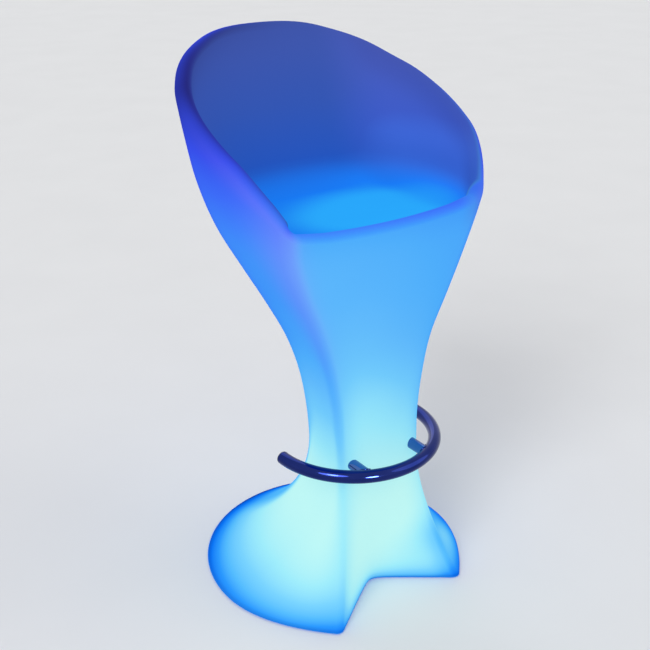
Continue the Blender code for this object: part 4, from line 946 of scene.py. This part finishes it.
def plate_cover():
    """The plate with its ribs, bezels, dome lip, posts and bosses, and the holes through it."""
    centre, low, high = stand("lamp_plate")
    face, rib = low + GAP, low - RIB_HEIGHT
    top = low + PLATE_THICKNESS
    lip, lip_top = LIP_RADIUS + LIP_WALL, top + LIP_HEIGHT
    slope = RIB_HEIGHT / 2
    profile = [(0, low)]
    for radius in RIB_RADII:
        start = radius - RIB_WIDTH
        profile += [(start, low), (start, low - slope), (start + slope, rib), (radius - slope, rib),
                    (radius, low - slope), (radius, low)]
    profile += quarter(PLATE_RADIUS, low, PLATE_BEVEL, PLATE_BEVEL)
    profile += [(PLATE_RADIUS, top), (lip, top), (lip, lip_top), (LIP_RADIUS, lip_top), (LIP_RADIUS, top),
                (0, top)]
    plate = turn(bmesh.new(), profile, PLATE_SIDES, centre)

    raised, holes = bmesh.new(), bmesh.new()
    posts = []
    for i in range(PLATE_POSTS):
        a = math.pi / 2 + math.tau * i / PLATE_POSTS
        posts.append(centre @ Matrix.Translation((POST_CIRCLE * math.cos(a), POST_CIRCLE * math.sin(a), 0)))
    for place in posts:
        rod(raised, place, POST_RADIUS, face, high, SMALL_SIDES)
    for side in (-1, 1):
        place = centre @ Matrix.Translation((side * BOSS_SPREAD, -BOSS_FRONT, 0))
        rod(raised, place, BOSS_RADIUS, face, top + BOSS_HEIGHT, SMALL_SIDES)
    bores = [(stand(name)[0], radius + GAP) for name, radius in HOLE_RADII]
    for place, bore in bores[:PLATE_BEZELS]:
        foot = bore + BEZEL_WIDTH + slope
        rim = [(bore, face), (bore, rib), (bore + BEZEL_WIDTH, rib), (foot, low), (foot, face)]
        turn(raised, rim, SMALL_SIDES, place, closed=True)
    bores += [(stand(f"plate_screw_{i}")[0], SCREW_RADIUS + GAP) for i in range(1, PLATE_SCREWS + 1)]
    for place, bore in bores:
        rod(holes, place, bore, low - CUT_OVERRUN, top + GAP, SMALL_SIDES)
    for place in posts:
        rod(holes, place, POST_BORE, high - POST_BORE_DEPTH, high + GAP, SMALL_SIDES)
    bm = joined(joined(plate, raised, "UNION"), holes, "DIFFERENCE")
    piece("plate_cover", bm, FINISH["black_plastic"], ("lamp_plate",), turn_out=False)


def socket_flap():
    """The flap: a rounded leaf with a hinge barrel along its front edge and grip ridges on its far end."""
    low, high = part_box("socket_flap")
    middle = (low + high) / 2
    half = (high.z - low.z) / 2
    reach = half_width("socket_flap")
    hinge = low.y + half
    bend = high.y - FLAP_CORNER
    outline = [(low.x, hinge), (high.x, hinge)]
    for x, start in ((high.x - FLAP_CORNER, 0), (low.x + FLAP_CORNER, math.pi / 2)):
        for i in range(ROUND_PARTS + 1):
            a = start + math.pi / 2 * i / ROUND_PARTS
            outline.append((x + FLAP_CORNER * math.cos(a), bend + FLAP_CORNER * math.sin(a)))
    bm = prism(outline, low.z, high.z)
    rims = [e for e in bm.edges
            if e.verts[0].co.z == e.verts[1].co.z and min(v.co.y for v in e.verts) > hinge]
    bmesh.ops.bevel(bm, geom=rims, offset=FLAP_EDGE, segments=2, affect="EDGES", profile=0.5)
    rods = [(hinge, middle.z, half, reach)]
    rods += [(bend - i * FLAP_GRIP_PITCH, low.z, FLAP_GRIP_RADIUS, reach - FLAP_CORNER)
             for i in range(FLAP_GRIPS)]
    for y, z, radius, length in rods:
        place = Matrix.Translation((middle.x, y, z)) @ Matrix.Rotation(math.pi / 2, 4, "Y")
        rod(bm, place, radius, -length, length, SMALL_SIDES // 2)
    piece("flap_leaf", bm, FINISH["grey_rubber"], ("socket_flap",), body="socket_flap")


# Materials


SRGB_KNEE = 0.04045


def srgb(r, g, b):
    """A colour as it looks on the screen, 0 to 255, in the shader's own values."""
    shares = (c / 255 for c in (r, g, b))
    return tuple(c / 12.92 if c <= SRGB_KNEE else ((c + 0.055) / 1.055) ** 2.4 for c in shares) + (1,)


class Tree:
    """The nodes of a material or a world, and short ways to add and join them."""

    def __init__(self, owner, main="Principled BSDF"):
        owner.use_nodes = True
        self.owner = owner
        self.tree = owner.node_tree
        self.main = self.tree.nodes[main]

    def add(self, kind, joins=None, **settings):
        made = self.tree.nodes.new(kind)
        for key, value in settings.items():
            setattr(made, key, value)
        for key, value in (joins or {}).items():
            self.join(value, made.inputs[key])
        return made

    def join(self, value, socket):
        if isinstance(value, bpy.types.NodeSocket):
            self.tree.links.new(value, socket)
        else:
            socket.default_value = value

    def ramp(self, factor, stops):
        made = self.add("ShaderNodeValToRGB", {0: factor})
        elements = made.color_ramp.elements
        while len(elements) < len(stops):
            elements.new(0.5)
        for element, (place, colour) in zip(elements, stops):
            element.position = place
            element.color = colour
        return made.outputs[0]

    def blend(self, factor, a, b, mode="MIX"):
        made = self.add("ShaderNodeMix", data_type="RGBA", blend_type=mode)
        for value, socket in ((factor, made.inputs[0]), (a, made.inputs[6]), (b, made.inputs[7])):
            self.join(value, socket)
        return made.outputs[2]

    def noise(self, scale, detail, stretch=None):
        place = self.add("ShaderNodeTexCoord").outputs["Object"]
        if stretch:
            place = self.add("ShaderNodeMapping", {"Vector": place, "Scale": stretch}).outputs[0]
        return self.add("ShaderNodeTexNoise", {"Vector": place, "Scale": scale, "Detail": detail}).outputs[0]

    def spread(self, value, low, high):
        return self.add("ShaderNodeMapRange", {"Value": value, "To Min": low, "To Max": high}).outputs[0]

    def bump(self, value, strength, distance):
        made = self.add("ShaderNodeBump", {"Height": value, "Strength": strength, "Distance": distance})
        self.join(made.outputs[0], self.main.inputs["Normal"])

    def attribute(self, name):
        return self.add("ShaderNodeAttribute", attribute_name=name).outputs["Fac"]

    def set(self, **values):
        for key, value in values.items():
            self.join(value, self.main.inputs[key.replace("_", " ")])


# Where a surface is at its darker and its paler shade, and how much finer its gloss and its grain run
MOTTLE_DARK = 0.32
MOTTLE_PALE = 0.68
MOTTLE_DETAIL = 4.0
GLOSS_FINER = 2.3
GRAIN_FINER = 8
GRAIN_DETAIL = 2.0
GRAIN_STRENGTH = 0.35


def surface(name, dark, pale, scale, roughness, metallic=0.0, grain=0.0, stretch=None, specular=0.5):
    """A moulded, rolled or drawn surface: two near shades, uneven gloss and a fine grain."""
    tree = Tree(bpy.data.materials.new(name))
    mottle = tree.noise(scale, MOTTLE_DETAIL, stretch)
    gloss = tree.noise(scale * GLOSS_FINER, GRAIN_DETAIL, stretch)
    tree.set(Base_Color=tree.ramp(mottle, ((MOTTLE_DARK, dark), (MOTTLE_PALE, pale))),
             Roughness=tree.spread(gloss, *roughness), Metallic=metallic, Specular_IOR_Level=specular)
    if grain:
        tree.bump(tree.noise(scale * GRAIN_FINER, GRAIN_DETAIL, stretch), GRAIN_STRENGTH, grain)
    return tree.owner


OUTSIDE_STOPS = (
    (0.00, srgb(36, 40, 124)), (0.18, srgb(56, 80, 236)), (0.28, srgb(61, 110, 250)),
    (0.36, srgb(64, 133, 253)), (0.44, srgb(66, 155, 253)), (0.53, srgb(80, 176, 254)),
    (0.61, srgb(97, 187, 254)), (0.72, srgb(114, 204, 254)), (0.86, srgb(152, 232, 252)),
    (1.00, srgb(192, 249, 246)))
LOW_STOPS = (
    (0.00, srgb(2, 44, 130)), (0.16, srgb(4, 92, 214)), (0.30, srgb(10, 118, 246)),
    (0.45, srgb(44, 154, 254)), (0.58, srgb(84, 188, 254)), (0.74, srgb(122, 212, 254)),
    (0.88, srgb(160, 237, 251)), (1.00, srgb(193, 249, 246)))
INSIDE_STOPS = (
    (0.00, srgb(69, 88, 170)), (0.35, srgb(53, 88, 180)), (0.52, srgb(38, 87, 190)),
    (0.78, srgb(27, 126, 246)), (1.00, srgb(43, 173, 254)))
# The colours of the painted sheen and of the painted dusk shade
LILAC_SHEEN = srgb(150, 134, 255)
DUSK = srgb(36, 32, 92)
LIT_SHARE = 0.22
CLOUD_SCALE = 5.0
CLOUD_DEPTH = 0.02
SKIN_ROUGHNESS = (0.42, 0.54)
SKIN_ROUGHNESS_SCALE = 60
SKIN_GRAIN_SCALE = 420
SKIN_GRAIN_STRENGTH = 0.12
SKIN_GRAIN_DEPTH = 0.0004
SKIN_DETAIL = 3.0


def shell_finish():
    """Milky plastic lit from inside: its colour runs with the light that reaches each place, and with the
    shade and sheen painted into it.
    """
    tree = Tree(bpy.data.materials.new("lit_milky_plastic"))
    cloud = tree.spread(tree.noise(CLOUD_SCALE, GRAIN_DETAIL), -CLOUD_DEPTH, CLOUD_DEPTH)
    light = tree.add("ShaderNodeMath", {0: tree.attribute("light"), 1: cloud}, operation="ADD").outputs[0]
    outside = tree.blend(tree.attribute("low"), tree.ramp(light, OUTSIDE_STOPS), tree.ramp(light, LOW_STOPS))
    colour = tree.blend(tree.attribute("inside"), outside, tree.ramp(light, INSIDE_STOPS))
    colour = tree.blend(tree.attribute("lilac_sheen"), colour, LILAC_SHEEN)
    colour = tree.blend(tree.attribute("dusk"), colour, DUSK)
    grey = (LIT_SHARE, LIT_SHARE, LIT_SHARE, 1)
    uneven = tree.noise(SKIN_ROUGHNESS_SCALE, SKIN_DETAIL)
    tree.set(Base_Color=tree.blend(1.0, colour, grey, "MULTIPLY"), Emission_Color=colour,
             Emission_Strength=1 - LIT_SHARE, Roughness=tree.spread(uneven, *SKIN_ROUGHNESS),
             Specular_IOR_Level=0.0)
    tree.bump(tree.noise(SKIN_GRAIN_SCALE, SKIN_DETAIL), SKIN_GRAIN_STRENGTH, SKIN_GRAIN_DEPTH)
    tree.owner.cycles.emission_sampling = "NONE"
    return tree.owner


# Of each finish its two shades, scale, roughness from and to, metallic share, depth of its grain and stretch
FINISHES = {
    # Painted reflection: the chrome's dark navy stands for the dark surroundings it mirrors, and the leg
    # chrome's paler blue for the glowing stem beside it
    "chrome": ((0.014, 0.026, 0.16, 1), (0.024, 0.038, 0.20, 1), 14, (0.05, 0.12), 1.0),
    "leg_chrome_painted_reflection": ((0.060, 0.14, 0.40, 1), (0.080, 0.17, 0.45, 1), 14, (0.05, 0.12), 1.0),
    "black_plastic": (srgb(22, 22, 26), srgb(34, 34, 39), 60, (0.38, 0.52), 0, 0.0003),
    "white_plastic": (srgb(205, 208, 212), srgb(228, 230, 233), 80, (0.3, 0.42), 0, 0.0002),
    "clear_diffuser": (srgb(206, 226, 240), srgb(236, 246, 252), 40, (0.2, 0.34), 0, 0.0002),
    "grey_rubber": (srgb(42, 42, 46), srgb(60, 60, 64), 120, (0.7, 0.88), 0, 0.0003),
    "steel": ((0.42, 0.42, 0.43, 1), (0.60, 0.60, 0.61, 1), 90, (0.25, 0.42), 1.0, 0.0001),
    "brass": ((0.55, 0.38, 0.14, 1), (0.72, 0.54, 0.24, 1), 90, (0.25, 0.4), 1.0, 0.0001),
    "aluminium": ((0.62, 0.63, 0.64, 1), (0.78, 0.79, 0.80, 1), 40, (0.3, 0.45), 1.0, 0.0001, (1, 12, 1)),
    "circuit_board": (srgb(18, 84, 48), srgb(30, 112, 66), 220, (0.4, 0.55), 0, 0.0001),
    "light_board_white": (srgb(214, 214, 208), srgb(238, 238, 234), 160, (0.4, 0.5), 0, 0.0001),
    "light_chip": (srgb(236, 226, 120), srgb(252, 246, 180), 300, (0.2, 0.35)),
    "cell_wrap": (srgb(30, 70, 160), srgb(46, 96, 196), 60, (0.3, 0.45)),
    "window_red": (srgb(70, 8, 14), srgb(104, 16, 22), 120, (0.1, 0.2)),
    "lead_red": (srgb(160, 22, 22), srgb(192, 36, 34), 200, (0.45, 0.6)),
    "lead_white": (srgb(214, 212, 206), srgb(236, 234, 230), 200, (0.45, 0.6)),
}


def dress_nodes():
    """Give every CAD node its finish. The moulding's node has none, for its new skin brings its own."""
    for part in frame["record"]["subparts"]:
        finish = FINISH.get(part["material_slot"])
        if finish:
            for slot in frame["nodes"][part["node"]].material_slots:
                slot.material = finish


# Floor, light and camera

FLOOR_RADIUS = 40.0
FLOOR_SIDES = 96
WORLD_LIGHT = 0.55
# Each lamp's turn, strength and spread. Only glossy surfaces see the glints.
LAMPS = (("key", (52, 0, -62), 1.35, 32), ("fill", (60, 0, 48), 0.55, 50), ("back", (58, 0, 170), 0.35, 45),
         ("glint_left", (51, 0, -62), 1.00, 12), ("glint_right", (77, 0, -12), 3.00, 15))


def studio():
    bm = bmesh.new()
    bmesh.ops.create_circle(bm, cap_ends=True, radius=FLOOR_RADIUS, segments=FLOOR_SIDES)
    mesh = bpy.data.meshes.new("studio_floor")
    bm.to_mesh(mesh)
    bm.free()
    paint = surface("floor_paint", srgb(227, 228, 230), srgb(229, 230, 232), 3, (0.8, 0.85), specular=0.0)
    mesh.materials.append(paint)
    floor = bpy.data.objects.new("studio_floor", mesh)
    bpy.context.scene.collection.objects.link(floor)

    world = Tree(bpy.data.worlds.new("studio"), "World Output")
    bpy.context.scene.world = world.owner
    lit = world.tree.nodes["Background"]
    world.join((1, 1, 1, 1), lit.inputs["Color"])
    world.join(WORLD_LIGHT, lit.inputs["Strength"])
    seen = world.add("ShaderNodeBackground", {"Color": srgb(236, 237, 240), "Strength": 1.0})
    rays = world.add("ShaderNodeLightPath").outputs
    plain = rays["Is Camera Ray"]
    for name in ("Is Glossy Ray", "Is Transmission Ray"):
        plain = world.add("ShaderNodeMath", {0: plain, 1: rays[name]}, operation="MAXIMUM").outputs[0]
    choice = world.add("ShaderNodeMixShader", {0: plain, 1: lit.outputs[0], 2: seen.outputs[0]})
    world.set(Surface=choice.outputs[0])

    for name, turned, strength, spread in LAMPS:
        lamp = bpy.data.lights.new(name, "SUN")
        lamp.energy = strength
        lamp.angle = math.radians(spread)
        made = bpy.data.objects.new(name, lamp)
        made.rotation_euler = [math.radians(a) for a in turned]
        made.visible_diffuse = not name.startswith("glint")
        bpy.context.scene.collection.objects.link(made)


def camera():
    data = bpy.data.cameras.new("photo_camera")
    data.lens = LENS_MM
    data.sensor_width = SENSOR_MM
    data.clip_end = 2 * FLOOR_RADIUS
    made = bpy.data.objects.new("photo_camera", data)
    made.location = CAMERA_PLACE
    made.rotation_euler = [math.radians(a) for a in CAMERA_TURN]
    bpy.context.scene.collection.objects.link(made)
    bpy.context.scene.camera = made


FINISH = {name: surface(name, *values) for name, values in FINISHES.items()}
dress_nodes()
glowing_shell()
chrome_ring()
ring_caps()
chrome_legs()
plate_screws()
buttons()
foot_pads()
plate_cover()
socket_flap()
studio()
camera()
bpy.context.scene.view_settings.view_transform = "Standard"
